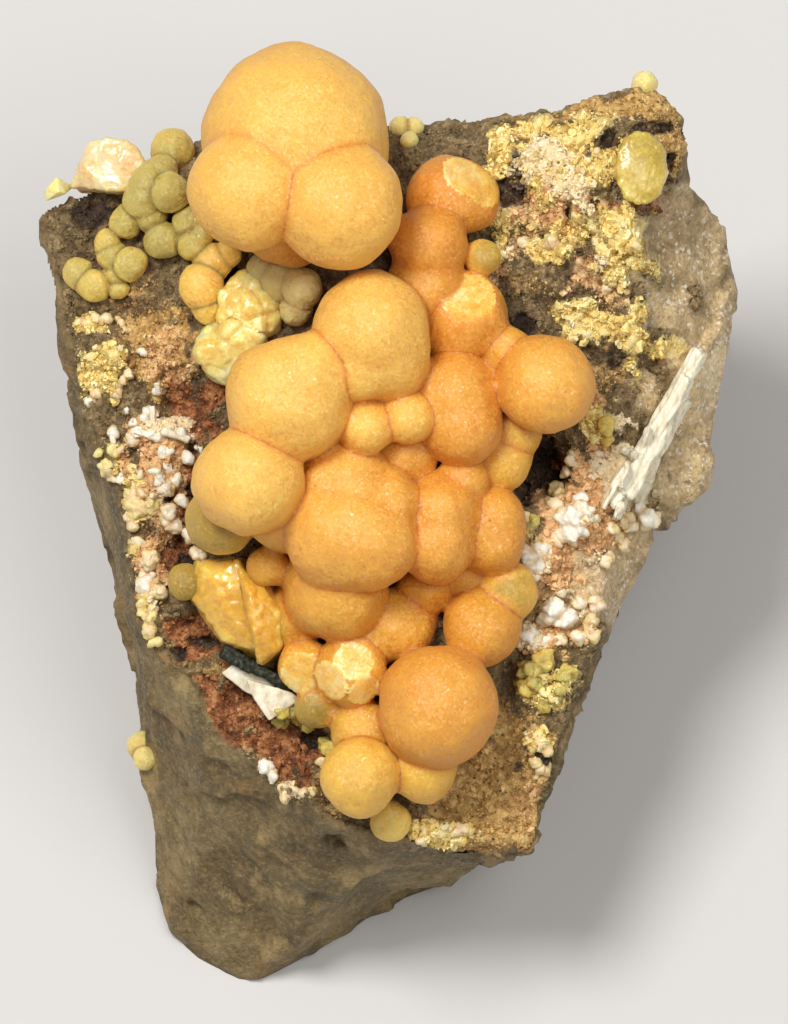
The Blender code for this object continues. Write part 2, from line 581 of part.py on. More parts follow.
def grown_together(name, solids, others, surface, cell, triangles):
    """One solid of balls and blocks grown into each other, clear of the rock and the others."""

    def field(points):
        depth, slope = field_of(points, solids)
        near = np.nonzero(depth < 1.6 * cell)[0]
        rivals = [surface.room(points[near])]
        for other in others:
            far, way = field_of(points[near], other)
            rivals.append((GAP - far, -way))
        for rival, way in rivals:
            above = rival > depth[near]
            depth[near[above]] = rival[above]
            slope[near[above]] = way[above]
        return depth, slope

    low, counts = box_round(solids, cell)
    values = field(grid_points(low, counts, cell))[0].reshape(counts)
    obj = sealed(crumbs_dropped(object_of(name, *skin_of(values, low, cell))), 0.9 * cell)
    corners = to_plane(places_of(obj.data))
    for _ in range(3):
        depth, slope = field(corners)
        step = depth / np.maximum((slope**2).sum(axis=1), 0.3)
        corners = corners - slope * np.clip(step, -0.5 * cell, 0.5 * cell)[:, None]
    moved_to(obj.data, to_world(corners))
    return thinned(crumbs_dropped(obj), triangles)


def balls_on_rock(surface, balls):
    """Balls whose centres are given by their height over the rock."""
    return [ball_solid((a, l, surface.out_at(a, l) + h, r)) for a, l, h, r in balls]


def split_on_rock(surface, split, rings):
    """A ball split along an oval break, as the hull of rings that narrow below the break."""
    across, along, height, half_width, half_length, fall_right, fall_up = split
    out = surface.out_at(across, along) + height
    corners = []
    for share, depth in rings:
        for step in range(14):
            turn = math.tau * step / 14
            right = share * half_width * math.cos(turn)
            up = share * half_length * math.sin(turn)
            corners.append((across + right, along + up,
                            out - depth - fall_right * right - fall_up * up))
    return [block_solid(corners)]


def blocks_on_rock(surface, blocks):
    """Blocks whose corners are given by their height over the rock under the block's middle."""
    solids = []
    for corners in blocks:
        across = sum(c[0] for c in corners) / len(corners)
        along = sum(c[1] for c in corners) / len(corners)
        base = surface.out_at(across, along)
        solids.append(block_solid([(a, l, base + h) for a, l, h in corners]))
    return solids


def blades_on_rock(surface, blades):
    """Long flat blades that lie along the rock, each pointed at its lower end."""
    solids = []
    for start, end, half, height in blades:
        way = Vector((end[0] - start[0], end[1] - start[1])).normalized()
        side = Vector((-way.y, way.x))
        corners = []
        for stand, share, tip in ((Vector(start), 0.75, -0.7), (Vector(end), 0.55, 1.2)):
            out = surface.out_at(stand.x, stand.y)
            for sign in (-1, 1):
                edge = stand + side * (sign * half * share)
                corners += [(edge.x, edge.y, out + height), (edge.x, edge.y, out - 0.4)]
            point = stand + way * (half * tip)
            corners.append((point.x, point.y, out + height * 0.6))
        solids.append(block_solid(corners))
    return solids


def boxes_meet(some, others):
    """Whether the boxes round two groups of solids reach into each other."""
    low = np.min([s[0] - s[1] for s in some], axis=0)
    high = np.max([s[0] + s[1] for s in some], axis=0)
    other_low = np.min([s[0] - s[1] for s in others], axis=0)
    other_high = np.max([s[0] + s[1] for s in others], axis=0)
    return bool((low < other_high).all() and (other_low < high).all())


def main():
    for obj in list(bpy.data.objects):
        bpy.data.objects.remove(obj)
    rock = make_rock()
    surface = Surface(rock)
    orange = material("orange mimetite", (0.9, 0.5, 0.12), 0.45)
    green = material("green yellow mimetite", (0.6, 0.55, 0.22), 0.45)
    yellow = material("yellow mimetite", (0.88, 0.7, 0.25), 0.4)
    grey = material("grey translucent mimetite", (0.6, 0.52, 0.36), 0.4)
    cream = material("broken cream mimetite", (0.87, 0.76, 0.4), 0.5)
    white = material("white crystals", (0.87, 0.84, 0.78), 0.6)
    dark = material("black green crust", (0.06, 0.06, 0.045), 0.6)
    rock.data.materials.append(material("grey quartz rock", (0.32, 0.28, 0.23), 0.8))
    cluster = [ball_solid(b) for b in CLUSTER]
    cluster += [ball_solid(*b) for b in BROKEN]
    cluster.append(block_solid(GLASSY_LUMP))
    growths = [
        ("mimetite_cluster", cluster, CLUSTER_CELL, CLUSTER_TRIANGLES, orange),
        ("green_ball_chain", balls_on_rock(surface, GREEN_CHAIN), 0.2, 760, green),
        ("grey_balls", balls_on_rock(surface, GREY_BALLS), 0.2, 220, grey),
        ("back_beads", balls_on_rock(surface, BACK_BEADS), 0.12, 110, yellow),
        ("rim_ball", balls_on_rock(surface, RIM_BALL), 0.14, 90, cream),
        ("foot_ball", balls_on_rock(surface, FOOT_BALL), 0.2, 100, green),
        ("edge_nub", balls_on_rock(surface, EDGE_NUB), 0.15, 80, yellow),
        ("half_ball", blocks_on_rock(surface, HALF_BALL), 0.18, 130, cream),
        ("split_ball", split_on_rock(surface, SPLIT_BALL, SPLIT_RINGS), 0.18, 180, green),
        ("cream_lump", blocks_on_rock(surface, CREAM_LUMP), 0.17, 260, cream),
        ("yellow_crystal", blocks_on_rock(surface, YELLOW_CRYSTAL), 0.1, 60, yellow),
        ("white_plate", blocks_on_rock(surface, WHITE_PLATE), 0.13, 140, white),
        ("dark_crust", blocks_on_rock(surface, DARK_CRUST), 0.12, 130, dark),
        ("white_blades", blades_on_rock(surface, WHITE_BLADES), 0.14, 360, white),
    ]
    taken = []
    for name, solids, cell, triangles, look in growths:
        near = [other for other in taken if boxes_meet(solids, other)]
        made = grown_together(name, solids, near, surface, cell, triangles)
        made.data.materials.append(look)
        taken.append(solids)


main()
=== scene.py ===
"""The looks of a mimetite specimen: orange balls of mimetite on a wedge of grey quartz rock.

Every place on the mineral face is given in the face's own drawing plane, which leans back from
the horizontal: across (to the right), along (up the face) and out (straight off the face), in
millimetres.
"""

import math

import bmesh
import bpy
import numpy as np
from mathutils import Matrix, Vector, noise
from mathutils.bvhtree import BVHTree


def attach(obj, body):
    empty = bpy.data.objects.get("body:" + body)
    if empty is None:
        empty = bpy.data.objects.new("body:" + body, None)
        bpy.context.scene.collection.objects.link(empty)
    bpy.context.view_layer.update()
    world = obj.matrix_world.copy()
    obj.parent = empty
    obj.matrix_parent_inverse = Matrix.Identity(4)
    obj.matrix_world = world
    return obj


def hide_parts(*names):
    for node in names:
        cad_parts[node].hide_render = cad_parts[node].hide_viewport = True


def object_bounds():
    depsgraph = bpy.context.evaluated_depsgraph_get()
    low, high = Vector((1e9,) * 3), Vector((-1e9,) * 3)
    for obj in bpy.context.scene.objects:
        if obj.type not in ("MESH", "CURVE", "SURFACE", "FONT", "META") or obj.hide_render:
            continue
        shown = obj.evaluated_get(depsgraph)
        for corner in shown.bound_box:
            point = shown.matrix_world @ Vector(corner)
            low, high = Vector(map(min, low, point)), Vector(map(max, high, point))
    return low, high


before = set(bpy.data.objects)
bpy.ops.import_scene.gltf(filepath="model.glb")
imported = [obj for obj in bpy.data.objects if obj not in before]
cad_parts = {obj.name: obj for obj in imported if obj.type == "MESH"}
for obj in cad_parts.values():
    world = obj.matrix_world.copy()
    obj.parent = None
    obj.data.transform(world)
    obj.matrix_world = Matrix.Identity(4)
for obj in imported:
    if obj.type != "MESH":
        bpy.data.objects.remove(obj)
cad_low, cad_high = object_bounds()

bl_info = {
    "name": "Mimetite specimen",
    "version": (1, 0, 0),
    "blender": (4, 5, 0),
    "location": "3D View > Sidebar > Mimetite",
    "description": "Builds the minerals of a mimetite specimen round its packed solids",
    "category": "Object",
}

MM = 0.001
SLANT = math.radians(20.0)  # the drawing plane's lean from the horizontal
LIFT = 22.0  # height of the drawing plane's centre above the ground
CENTRE_X = 0.26  # place of the drawing plane's centre over the ground
CENTRE_Y = -2.3

# The drawing plane's own axes: across, along and out, one in each row.
AXES = np.array([
    (1.0, 0.0, 0.0),
    (0.0, math.cos(SLANT), math.sin(SLANT)),
    (0.0, -math.sin(SLANT), math.cos(SLANT)),
])
MIDDLE_POINT = np.array([CENTRE_X, CENTRE_Y, LIFT])

# The camera looks straight down on the drawing plane from far away.
CAMERA_FAR = 1500.0
SENSOR = 36.0
FRAME_LENGTH = 53.9  # millimetres of the drawing plane from the picture's top to its bottom

# The mimetite balls: across, along, out, radius, and tint from pale yellow 0 to deep orange 1.
CROWN = [
    (-5.2, 19.7, 2.4, 4.9, 0.42), (-7.7, 16.9, 5.0, 3.15, 0.45), (-2.9, 16.1, 5.0, 3.4, 0.5),
    (-5.4, 16.4, 1.0, 3.4, 0.7), (-1.9, 15.6, 0.6, 2.2, 0.7),
]
UPPER_RIGHT = [
    (1.8, 14.1, 1.3, 2.0, 1.0), (1.6, 11.9, 0.8, 2.1, 0.85), (3.3, 9.6, 0.9, 1.75, 1.0),
    (4.7, 13.4, 0.7, 0.95, -0.1), (5.9, 8.5, 1.1, 1.3, 0.7), (8.0, 6.7, 2.0, 2.55, 0.72),
]
MIDDLE = [
    (-1.2, 9.6, 3.4, 3.1, 0.46), (-0.3, 8.1, 3.3, 2.2, 0.5), (-1.8, 7.5, 4.1, 1.6, 0.45),
    (-5.6, 5.9, 3.6, 3.3, 0.42), (-4.5, 7.2, 4.2, 2.3, 0.42), (-7.7, 1.6, 3.9, 2.9, 0.38),
    (-1.4, 4.4, 3.3, 1.4, 0.4), (0.7, 4.9, 3.1, 1.35, 0.45), (-2.5, 1.2, 2.0, 2.5, 0.72),
    (-5.7, 0.0, 1.5, 2.2, 0.6), (-2.9, -1.1, 2.5, 2.95, 0.72), (-1.4, -1.5, 2.5, 2.65, 0.8),
    (-0.4, 0.6, 2.4, 1.7, 0.75), (0.6, 3.0, 0.9, 1.6, 0.9), (-4.2, 4.6, 0.4, 3.0, 0.8),
    (-9.1, -0.4, 0.4, 1.9, -0.25), (-6.6, -2.9, 0.0, 1.15, 0.6), (-5.3, -5.4, -1.6, 1.75, 0.7),
]
RIGHT_SIDE = [
    (2.5, 0.0, 1.3, 2.0, 0.85), (2.2, -1.7, 1.3, 2.1, 0.9), (3.6, 1.6, 0.9, 1.3, 0.8),
    (5.3, -0.4, 0.3, 1.6, 0.85), (5.1, -1.6, 0.3, 1.7, 0.9), (3.2, 6.2, 1.7, 2.2, 0.85),
    (3.5, 4.6, 1.7, 2.1, 0.9), (5.7, 2.6, -0.3, 1.5, 0.4), (6.4, 4.4, -0.3, 1.5, 0.5),
]
LOWER = [
    (-3.1, -4.0, 0.1, 2.75, 0.7), (0.2, -6.0, -1.2, 2.0, 0.62), (-1.2, -6.7, -1.2, 1.5, 0.62),
    (1.6, -4.0, -1.0, 1.45, 0.85), (4.6, -6.1, -0.5, 2.05, 0.8), (6.0, -4.2, -0.6, 1.5, 0.0),
    (3.7, -3.4, -0.9, 1.1, 0.8), (2.3, -10.2, 1.0, 3.15, 0.85), (-1.8, -14.0, 0.4, 2.05, 0.16),
    (-1.6, -11.5, -1.2, 1.7, 0.4), (1.5, -13.7, -0.5, 1.7, 0.3), (-11.0, -3.7, -2.0, 0.95, -0.4),
    (-4.1, -10.3, -1.6, 1.15, -0.5),
]
CLUSTER = CROWN + UPPER_RIGHT + MIDDLE + RIGHT_SIDE + LOWER

# Balls with a broken side: the ball, then each break's direction and distance from its centre.
BROKEN = [
    ((2.8, 16.7, -0.2, 2.15, 1.0), [(0.55, 0.55, 0.63, 1.65)]),
    ((3.8, 16.5, -0.1, 1.75, 0.95), [(0.55, 0.55, 0.63, 1.15)]),
    ((3.8, 10.3, 0.9, 2.25, 0.95), [(0.05, 0.62, 0.78, 1.69)]),
    ((-2.3, -8.4, -0.3, 1.85, 0.6), [(-0.7, -0.35, 0.62, 1.45), (0.45, -0.6, 0.66, 1.6),
                                     (0.1, 0.35, 0.93, 1.5)]),
    ((-4.7, -8.2, -0.9, 1.4, 0.6), [(-0.05, -0.5, 0.86, 0.6)]),
]
# The glassy broken lump of the lower left: the corners of its two shards.
GLASSY_LUMP = [
    [(-10.5, -2.6, -3.2), (-7.8, -2.4, -3.0), (-6.6, -4.6, -2.6), (-7.0, -8.0, -3.0),
     (-9.1, -6.8, -3.4), (-10.7, -4.6, -3.4), (-10.4, -2.7, -1.3), (-8.2, -2.6, -0.5),
     (-7.6, -4.4, -0.2), (-7.1, -7.2, -0.6), (-9.0, -6.7, -1.4), (-10.6, -4.6, -1.6),
     (-9.5, -3.4, -0.3), (-8.9, -5.2, -0.3)],
    [(-8.1, -2.5, -3.0), (-6.3, -3.5, -2.8), (-5.5, -5.6, -2.6), (-5.9, -7.6, -2.8),
     (-7.0, -8.3, -3.0), (-8.2, -3.0, -0.4), (-7.6, -4.3, 0.75), (-7.4, -6.3, 0.7),
     (-7.1, -7.9, -0.5), (-6.9, -3.9, 0.1), (-6.0, -5.4, 0.1), (-6.1, -7.2, -0.3),
     (-5.6, -5.9, -1.0)],
]

# The smaller growths sit on the rock: across, along, height of the centre above it, radius, tint.
GREEN_CHAIN = [
    (-12.32, 17.89, 1.1, 0.89, 0.2), (-11.79, 16.84, 1, 1, 0.2), (-12.95, 17.32, 1, 0.89, 0.2),
    (-13.21, 16.47, 0.9, 1, 0.2), (-12.79, 15.53, 0.8, 0.79, 0.2), (-14.16, 15.32, 0.7, 0.84, 0.3),
    (-12.16, 14.32, 0.8, 0.95, 0.1), (-10.84, 15.26, 0.7, 0.79, 0.2),
    (-10.53, 14.11, 0.7, 0.79, 0.3), (-10.16, 14.74, 0.5, 0.63, 0.3),
    (-15.16, 14.26, 0.6, 0.63, 0.65), (-14.79, 13.42, 0.6, 0.74, 0.3),
    (-13.89, 13.05, 0.7, 0.82, 0.3), (-14.63, 12.53, 0.5, 0.53, 0.5),
    (-14.53, 11.74, 0.4, 0.47, 0.5), (-15.05, 12.32, 0.4, 0.47, 0.5),
    (-15.84, 11.89, 0.6, 0.82, 0.4), (-16.74, 12.63, 0.5, 0.79, 0.3),
    (-11.68, 19.11, 0, 1.16, 0.4), (-10.2, 11.9, 0.8, 1.15, 1.0), (-9.58, 13.16, 0.7, 0.95, 1.0),
    (-8.68, 13.68, 0.6, 0.68, 0.9), (-9.84, 10.63, 0.5, 0.74, 1.0),
]
GREY_BALLS = [
    (-6.9, 12.8, 0.6, 0.85, 0.3), (-5.9, 12.2, 0.8, 1.05, 0.5), (-4.8, 11.8, 0.9, 1.05, 0.6),
    (-5.2, 10.6, 0.6, 0.8, 0.4),
]
BACK_BEADS = [
    (0.3, 20.3, 0.3, 0.55, 0.5), (1.1, 20.3, 0.4, 0.48, 0.5), (0.8, 19.6, 0.4, 0.45, 0.5),
]
RIM_BALL = [(13.2, 22.6, 0.5, 0.7, 0.7)]
FOOT_BALL = [(-0.2, -16.3, 0.5, 1.1, 0.55)]
EDGE_NUB = [(-13.4, -12.4, 0.2, 0.75, 0.5), (-13.2, -13.1, 0.2, 0.6, 0.5)]

# The split ball with its oval break: middle of the break across, along and over the rock, half
# width, half length, and the break's fall to the right and towards the top.
SPLIT_BALL = (13.0, 18.1, 1.1, 1.35, 1.95, 0.22, 0.12)
# Its rings, each with this many corners: share of the oval and depth under the break.
SPLIT_SIDES = 14
SPLIT_RINGS = [(0.97, 0.0), (1.0, 0.25), (0.94, 0.9), (0.75, 1.5), (0.4, 1.95)]

# Broken lumps, crystals and plates: the hulls of their corners, with the last figure of each
# corner its height over the rock.
CREAM_LUMP = [
    [(-9.1, 11.7, -1), (-8.1, 12.7, -1), (-7.2, 12.8, -1), (-7.0, 12.1, -1), (-5.9, 11.4, -1),
     (-6.0, 9.6, -1), (-9.6, 10.0, -1), (-9.1, 11.6, 1.3), (-8.1, 12.6, 1.1),
     (-7.2, 12.7, 1.2), (-6.0, 11.3, 1.2), (-6.1, 9.7, 1.4), (-7.0, 9.1, 1.9),
     (-8.5, 9.4, 1.9), (-9.3, 10.2, 1.4), (-7.7, 11.2, 2.2), (-7.0, 10.5, 2.2)],
    [(-10.0, 10.1, -1), (-10.6, 8.4, -1), (-10.3, 7.5, -1), (-8.7, 6.5, -1), (-8.0, 7.8, -1),
     (-6.7, 8.1, -1), (-6.7, 9.6, -1), (-9.8, 10.0, 0.9), (-10.5, 8.4, 1.1),
     (-10.1, 7.6, 1.3), (-8.8, 6.7, 1.3), (-8.1, 7.9, 2.2), (-7.0, 8.3, 1.9),
     (-6.9, 9.3, 2.2), (-8.3, 10.0, 2.4), (-9.3, 8.8, 2.1)],
]
HALF_BALL = [
    [(-16.3, 18.2, 1.2), (-16.0, 19.5, 0.6), (-15.2, 19.7, 0.7), (-14.1, 19.6, 0.9),
     (-13.6, 19.2, 1.0), (-13.0, 18.2, 1.2), (-13.6, 17.0, 1.5), (-15.2, 17.0, 1.7),
     (-17.0, 17.2, 0.3), (-16.7, 18.2, 0.1), (-16.6, 17.0, -1.6), (-16.0, 18.9, -1.4),
     (-14.2, 19.1, -1.4), (-13.4, 18.4, -1.4), (-13.6, 16.6, -1.6), (-14.6, 17.0, 1.8)],
]
YELLOW_CRYSTAL = [
    [(-18.5, 16.9, -0.8), (-17.8, 16.6, -0.8), (-16.9, 17.2, -0.8), (-17.3, 16.8, 0.4),
     (-17.8, 17.7, 0.5), (-18.3, 17.1, 0.5), (-17.7, 16.9, 0.9), (-18.4, 16.4, 0.2)],
]
WHITE_PLATE = [
    [(-9.1, -8.5, -0.8), (-8.3, -7.9, -0.8), (-6.3, -9.1, -0.8), (-6.4, -10.2, -0.8),
     (-7.8, -9.5, -0.8), (-9.1, -8.5, 1.0), (-8.3, -7.9, 1.2), (-6.3, -9.1, 1.1),
     (-6.4, -10.2, 0.9), (-7.8, -9.5, 0.9)],
    [(-7.8, -8.8, -0.5), (-5.4, -9.5, -0.5), (-4.9, -9.9, -0.5), (-5.9, -10.4, -0.5),
     (-6.6, -11.0, -0.5), (-7.4, -9.8, -0.5), (-7.8, -8.8, 1.1), (-5.4, -9.5, 0.8),
     (-4.9, -9.9, 0.5), (-5.9, -10.4, 0.6), (-6.6, -11.0, 0.5), (-7.4, -9.8, 0.9)],
]
DARK_CRUST = [
    [(-9.2, -7.6, -0.5), (-8.8, -7.0, -0.5), (-7.3, -8.0, -0.5), (-7.6, -8.5, -0.5),
     (-9.2, -7.6, 0.9), (-8.8, -7.0, 1.0), (-7.3, -8.0, 1.3), (-7.6, -8.5, 1.2)],
    [(-7.9, -7.7, -0.5), (-5.6, -8.8, -0.5), (-5.8, -9.2, -0.5), (-7.8, -8.3, -0.5),
     (-7.9, -7.7, 1.2), (-5.6, -8.8, 1.1), (-5.8, -9.2, 1.0), (-7.8, -8.3, 1.1)],
]
# White blades on the quartz: the two ends, half the width at each, and height over the rock.
WHITE_BLADES = [
    ((16.1, 8.45), (13.6, 3.9), 0.4, 0.52, 1.3), ((15.4, 7.1), (12.8, 2.2), 0.42, 0.6, 1.2),
    ((14.7, 5.6), (12.2, 1.0), 0.45, 0.62, 1.35), ((13.9, 4.2), (11.4, 0.5), 0.5, 0.45, 1.2),
    ((15.3, 6.0), (13.7, 3.2), 0.36, 0.5, 1.1), ((13.45, 4.4), (12.9, 3.0), 0.12, 0.12, 1.8),
    ((12.0, 3.3), (13.5, 2.6), 0.16, 0.3, 1.4), ((12.1, 2.3), (11.0, 0.2), 0.2, 0.12, 1.3),
    ((13.7, 2.9), (12.9, 0.3), 0.4, 0.3, 1.05), ((16.3, 8.3), (15.2, 6.4), 0.16, 0.2, 1.4),
    ((12.5, 1.6), (11.7, -0.3), 0.3, 0.16, 1.1), ((12.3, 2.6), (12.0, 1.2), 0.12, 0.12, 1.6),
]
# Short white rods among the grains of the left rim, listed like the blades.
WHITE_RODS = [
    ((-13.7, 4.3), (-12.3, 3.9), 0.2, 0.24, 0.5), ((-12.2, 4.3), (-10.8, 3.8), 0.22, 0.2, 0.5),
    ((-12.8, 5.6), (-12.7, 4.8), 0.2, 0.17, 0.5), ((-14.9, 4.3), (-14.8, 3.6), 0.18, 0.14, 0.4),
    ((-12.5, 6.8), (-12.4, 6.2), 0.16, 0.19, 0.5), ((-12.4, 1.9), (-12.1, 1.4), 0.18, 0.16, 0.5),
]
# Clear olive lumps of the lower right.
OLIVE_LUMPS = [
    (7.7, -8.3, 0.2, 0.65, 0.3), (8.1, -8.0, 0.2, 0.55, 0.45), (7.2, -8.5, 0.1, 0.5, 0.3),
    (9.1, -8.4, 0.1, 0.5, 0.35), (7.5, -9.1, 0.2, 0.5, 0.3), (7.0, -9.4, 0.3, 0.42, 0.85),
    (8.2, -9.9, 0.1, 0.42, 0.5), (8.9, -9.2, 0.1, 0.4, 0.4), (7.9, -7.6, 0.2, 0.4, 0.6),
    (8.7, 4.7, 0.1, 0.4, 0.5), (11.1, 4.2, 0.1, 0.45, 0.6), (7.0, -1.0, 0.1, 0.5, 0.3),
    (7.3, -0.5, 0.1, 0.42, 0.4), (-4.6, -9.9, 0.2, 0.5, 0.3), (-5.3, -10.3, 0.1, 0.55, 0.35),
    (-4.7, -11.2, 0.0, 0.5, 0.4), (-5.9, -11.0, 0.0, 0.4, 0.3), (-3.7, -12.3, 0.1, 0.42, 0.5),
]
# The way that the blades and their strands run, across and along, how deep their feet stand in
# the rock, and the share of their height and width where their flat tops begin.
STRAND_WAY = (0.53, 0.85)
BLADE_SUNK = 0.4
BLADE_SHOULDER = 0.7

# The small crystals are crumbled into this many, each this share of the whole.
CRUMBS = 3
CRUMB_SIZES = (0.5, 0.85)
# Small round crystals, by tint from white 0 over cream to yellow 1.
PALE_KNOBS = [
    (-12.5, 6.4, 0.1, 0.26, 0), (-13.8, 4.8, 0.1, 0.26, 0), (-12.8, 5.1, 0.1, 0.32, 0.05),
    (-14.8, 4.0, 0.1, 0.32, 0), (-13.4, 4.1, 0.1, 0.32, 0), (-12.9, 4.2, 0.1, 0.32, 0),
    (-12.4, 4.0, 0.1, 0.32, 0.05), (-11.7, 4.2, 0.1, 0.26, 0.1), (-11.3, 4.1, 0.1, 0.26, 0.1),
    (-10.9, 3.9, 0.1, 0.26, 0.1), (-10.9, 2.9, 0.1, 0.26, 0.05), (-12.4, 1.7, 0.1, 0.26, 0),
    (-12.2, 3.3, 0.1, 0.37, 0.15), (-11.8, 2.3, 0.1, 0.26, 0.2), (-14.1, 5.4, 0.1, 0.21, 0),
    (-16.1, 5.8, 0.1, 0.21, 0.1), (-10.3, 3.3, 0.1, 0.21, 0.1), (-11.9, 1.1, 0.1, 0.42, 0.35),
    (-11.6, -0.5, 0.2, 0.53, 0.3), (-15.2, 2.9, 0.1, 0.42, 0.85), (-15.0, 2.4, 0.1, 0.42, 0.8),
    (-14.8, 1.9, 0.1, 0.32, 0.6), (-13.4, 1.9, 0.1, 0.42, 0.3), (-13.3, 1.2, 0.1, 0.42, 0.5),
    (-13.3, 0.6, 0.2, 0.53, 0.75), (-13.6, 0.1, 0.2, 0.47, 0.8), (-12.9, 0.3, 0.1, 0.37, 0.6),
    (-14.3, 1.8, 0.1, 0.32, 0.3), (-13.8, -0.5, 0.1, 0.37, 0.4), (-10.6, -1.5, 0.1, 0.42, 0.15),
    (-10.3, -2.2, 0.1, 0.37, 0.2), (-10.8, -1.1, 0.1, 0.32, 0.25), (-13.1, -2.5, 0.2, 0.47, 0.4),
    (-13.2, -3.8, 0.1, 0.42, 0.1), (-12.8, -3.3, 0.1, 0.37, 0.3), (-13.1, -4.8, 0.1, 0.42, 0.75),
    (-13.0, -5.5, 0.1, 0.42, 0.8), (-12.9, -6.2, 0.1, 0.37, 0.75), (-12.6, -6.8, 0.1, 0.32, 0.8),
    (-12.6, -4.2, 0.1, 0.37, 0.4), (-13.5, -1.7, 0.1, 0.42, 0.35), (-12.7, 2.2, 0.1, 0.26, 0.3),
    (-11.5, 1.7, 0.1, 0.26, 0.3), (-11.2, 0.6, 0.1, 0.26, 0.25), (-13.9, 3.8, 0.1, 0.26, 0.4),
    (-14.4, 3.2, 0.1, 0.26, 0.4), (-13.7, 0.7, 0.1, 0.37, 0.7), (9.6, -0.1, 0.2, 0.75, 0.05),
    (9.4, -0.8, 0.2, 0.7, 0.05), (9.9, 0.5, 0.1, 0.5, 0.1), (13.0, 0.1, 0.2, 0.65, 0.1),
    (13.3, -0.4, 0.1, 0.5, 0.15), (12.8, 1.6, 0.1, 0.5, 0.1), (7.2, -2.6, 0.3, 0.95, 0.05),
    (7.8, -2.0, 0.2, 0.7, 0.1), (7.4, -3.4, 0.1, 0.45, 0.3), (8.6, -5.2, 0.2, 0.75, 0.05),
    (9.1, -5.6, 0.1, 0.55, 0.1), (6.7, -0.3, 0.9, 0.35, 0.5), (13.4, 1.3, 0.0, 0.35, 0.35),
    (10.5, 1.9, 0.0, 0.32, 0.35), (8.8, 1.2, 0.1, 0.5, 0.65), (9.2, 2.0, 0.0, 0.3, 0.45),
    (9.3, 2.8, 0.0, 0.35, 0.4), (10.9, 2.9, 0.0, 0.3, 0.3), (12.2, -0.5, 0.1, 0.42, 0.4),
    (11.5, -0.8, 0.1, 0.35, 0.4), (10.6, -0.4, 0.0, 0.35, 0.4), (8.5, 0.4, 0.0, 0.35, 0.5),
    (8.6, -1.2, 0.0, 0.35, 0.35), (9.3, -1.5, 0.0, 0.35, 0.3), (9.1, -4.1, 0.0, 0.35, 0.4),
    (9.8, -4.6, 0.0, 0.32, 0.4), (10.6, -4.9, 0.0, 0.32, 0.3), (7.2, -6.4, 0.1, 0.5, 0.15),
    (7.9, -6.9, 0.0, 0.4, 0.2), (8.7, -6.7, 0.1, 0.4, 0.35), (9.7, -6.5, 0.1, 0.5, 0.3),
    (10.4, -6.1, 0.1, 0.45, 0.6), (11.2, -2.5, 0.0, 0.3, 0.35), (11.8, -1.5, 0.1, 0.37, 0.3),
    (12.5, -0.9, 0.1, 0.32, 0.3), (11.8, 14.3, 0.1, 0.32, 0.95), (10.8, 12.8, 0.1, 0.32, 0.9),
    (11.5, 12.2, 0.1, 0.26, 0.7), (11.1, 11.8, 0.1, 0.26, 0.6), (10.1, 9.4, 0.1, 0.21, 1),
    (12.4, 13.2, 0.1, 0.32, 0.9), (12.0, 15.1, 0.1, 0.32, 0.8), (11.1, 13.8, 0.1, 0.32, 0.9),
    (10.6, 14.3, 0.1, 0.26, 0.7), (12.7, 13.9, 0.1, 0.26, 0.8), (9.2, 9.1, 0.1, 0.26, 0.8),
    (12.0, 10.1, 0.1, 0.26, 0.8), (12.4, 9.1, 0.1, 0.26, 0.85), (11.1, 4.6, 0.1, 0.26, 0.95),
    (10.7, 4.0, 0.1, 0.21, 0.9), (11.5, 4.9, 0.1, 0.21, 0.85), (8.7, 14.1, 0.1, 0.32, 0.5),
    (8.1, 14.3, 0.1, 0.32, 0.6), (7.5, 13.9, 0.1, 0.32, 0.6), (6.8, 14.2, 0.1, 0.26, 0.5),
    (6.2, 13.8, 0.1, 0.26, 0.5), (-6.8, -13.4, 0.1, 0.37, 0.05), (-6.5, -13.9, 0.1, 0.32, 0.15),
    (-5.8, -14.7, 0.1, 0.37, 0.5), (-5.1, -14.8, 0.1, 0.32, 0.4), (-4.4, -14.7, 0.1, 0.26, 0.5),
    (-3.6, -13.3, 0.1, 0.37, 0.6), (-3.3, -13.8, 0.1, 0.37, 0.65), (-3.1, -14.3, 0.1, 0.32, 0.6),
    (1.8, -16.8, 0.1, 0.37, 0.7), (2.4, -17.0, 0.1, 0.42, 0.75), (3.1, -16.8, 0.1, 0.37, 0.7),
    (3.6, -16.6, 0.1, 0.26, 0.6), (1.4, -17.3, 0.1, 0.26, 0.6), (7.6, -12.1, 0.1, 0.37, 0.7),
    (7.9, -12.6, 0.1, 0.37, 0.6), (7.5, -13.1, 0.1, 0.32, 0.6), (8.1, -13.5, 0.1, 0.32, 0.6),
    (7.7, -13.9, 0.1, 0.32, 0.5), (-16.4, 10.0, 0.1, 0.26, 0.6), (-15.8, 10.3, 0.1, 0.26, 0.6),
    (-15.2, 10.2, 0.1, 0.26, 0.6), (-14.5, 10.0, 0.1, 0.26, 0.6), (-14.1, 9.6, 0.1, 0.26, 0.6),
    (-13.4, 8.4, 0.1, 0.21, 0.3), (-14.4, 6.7, 0.1, 0.26, 0.6), (-14.8, 6.2, 0.1, 0.26, 0.5),
    (-14.0, 7.2, 0.1, 0.26, 0.5), (-15.6, 6.2, 0.1, 0.26, 0.6),
]

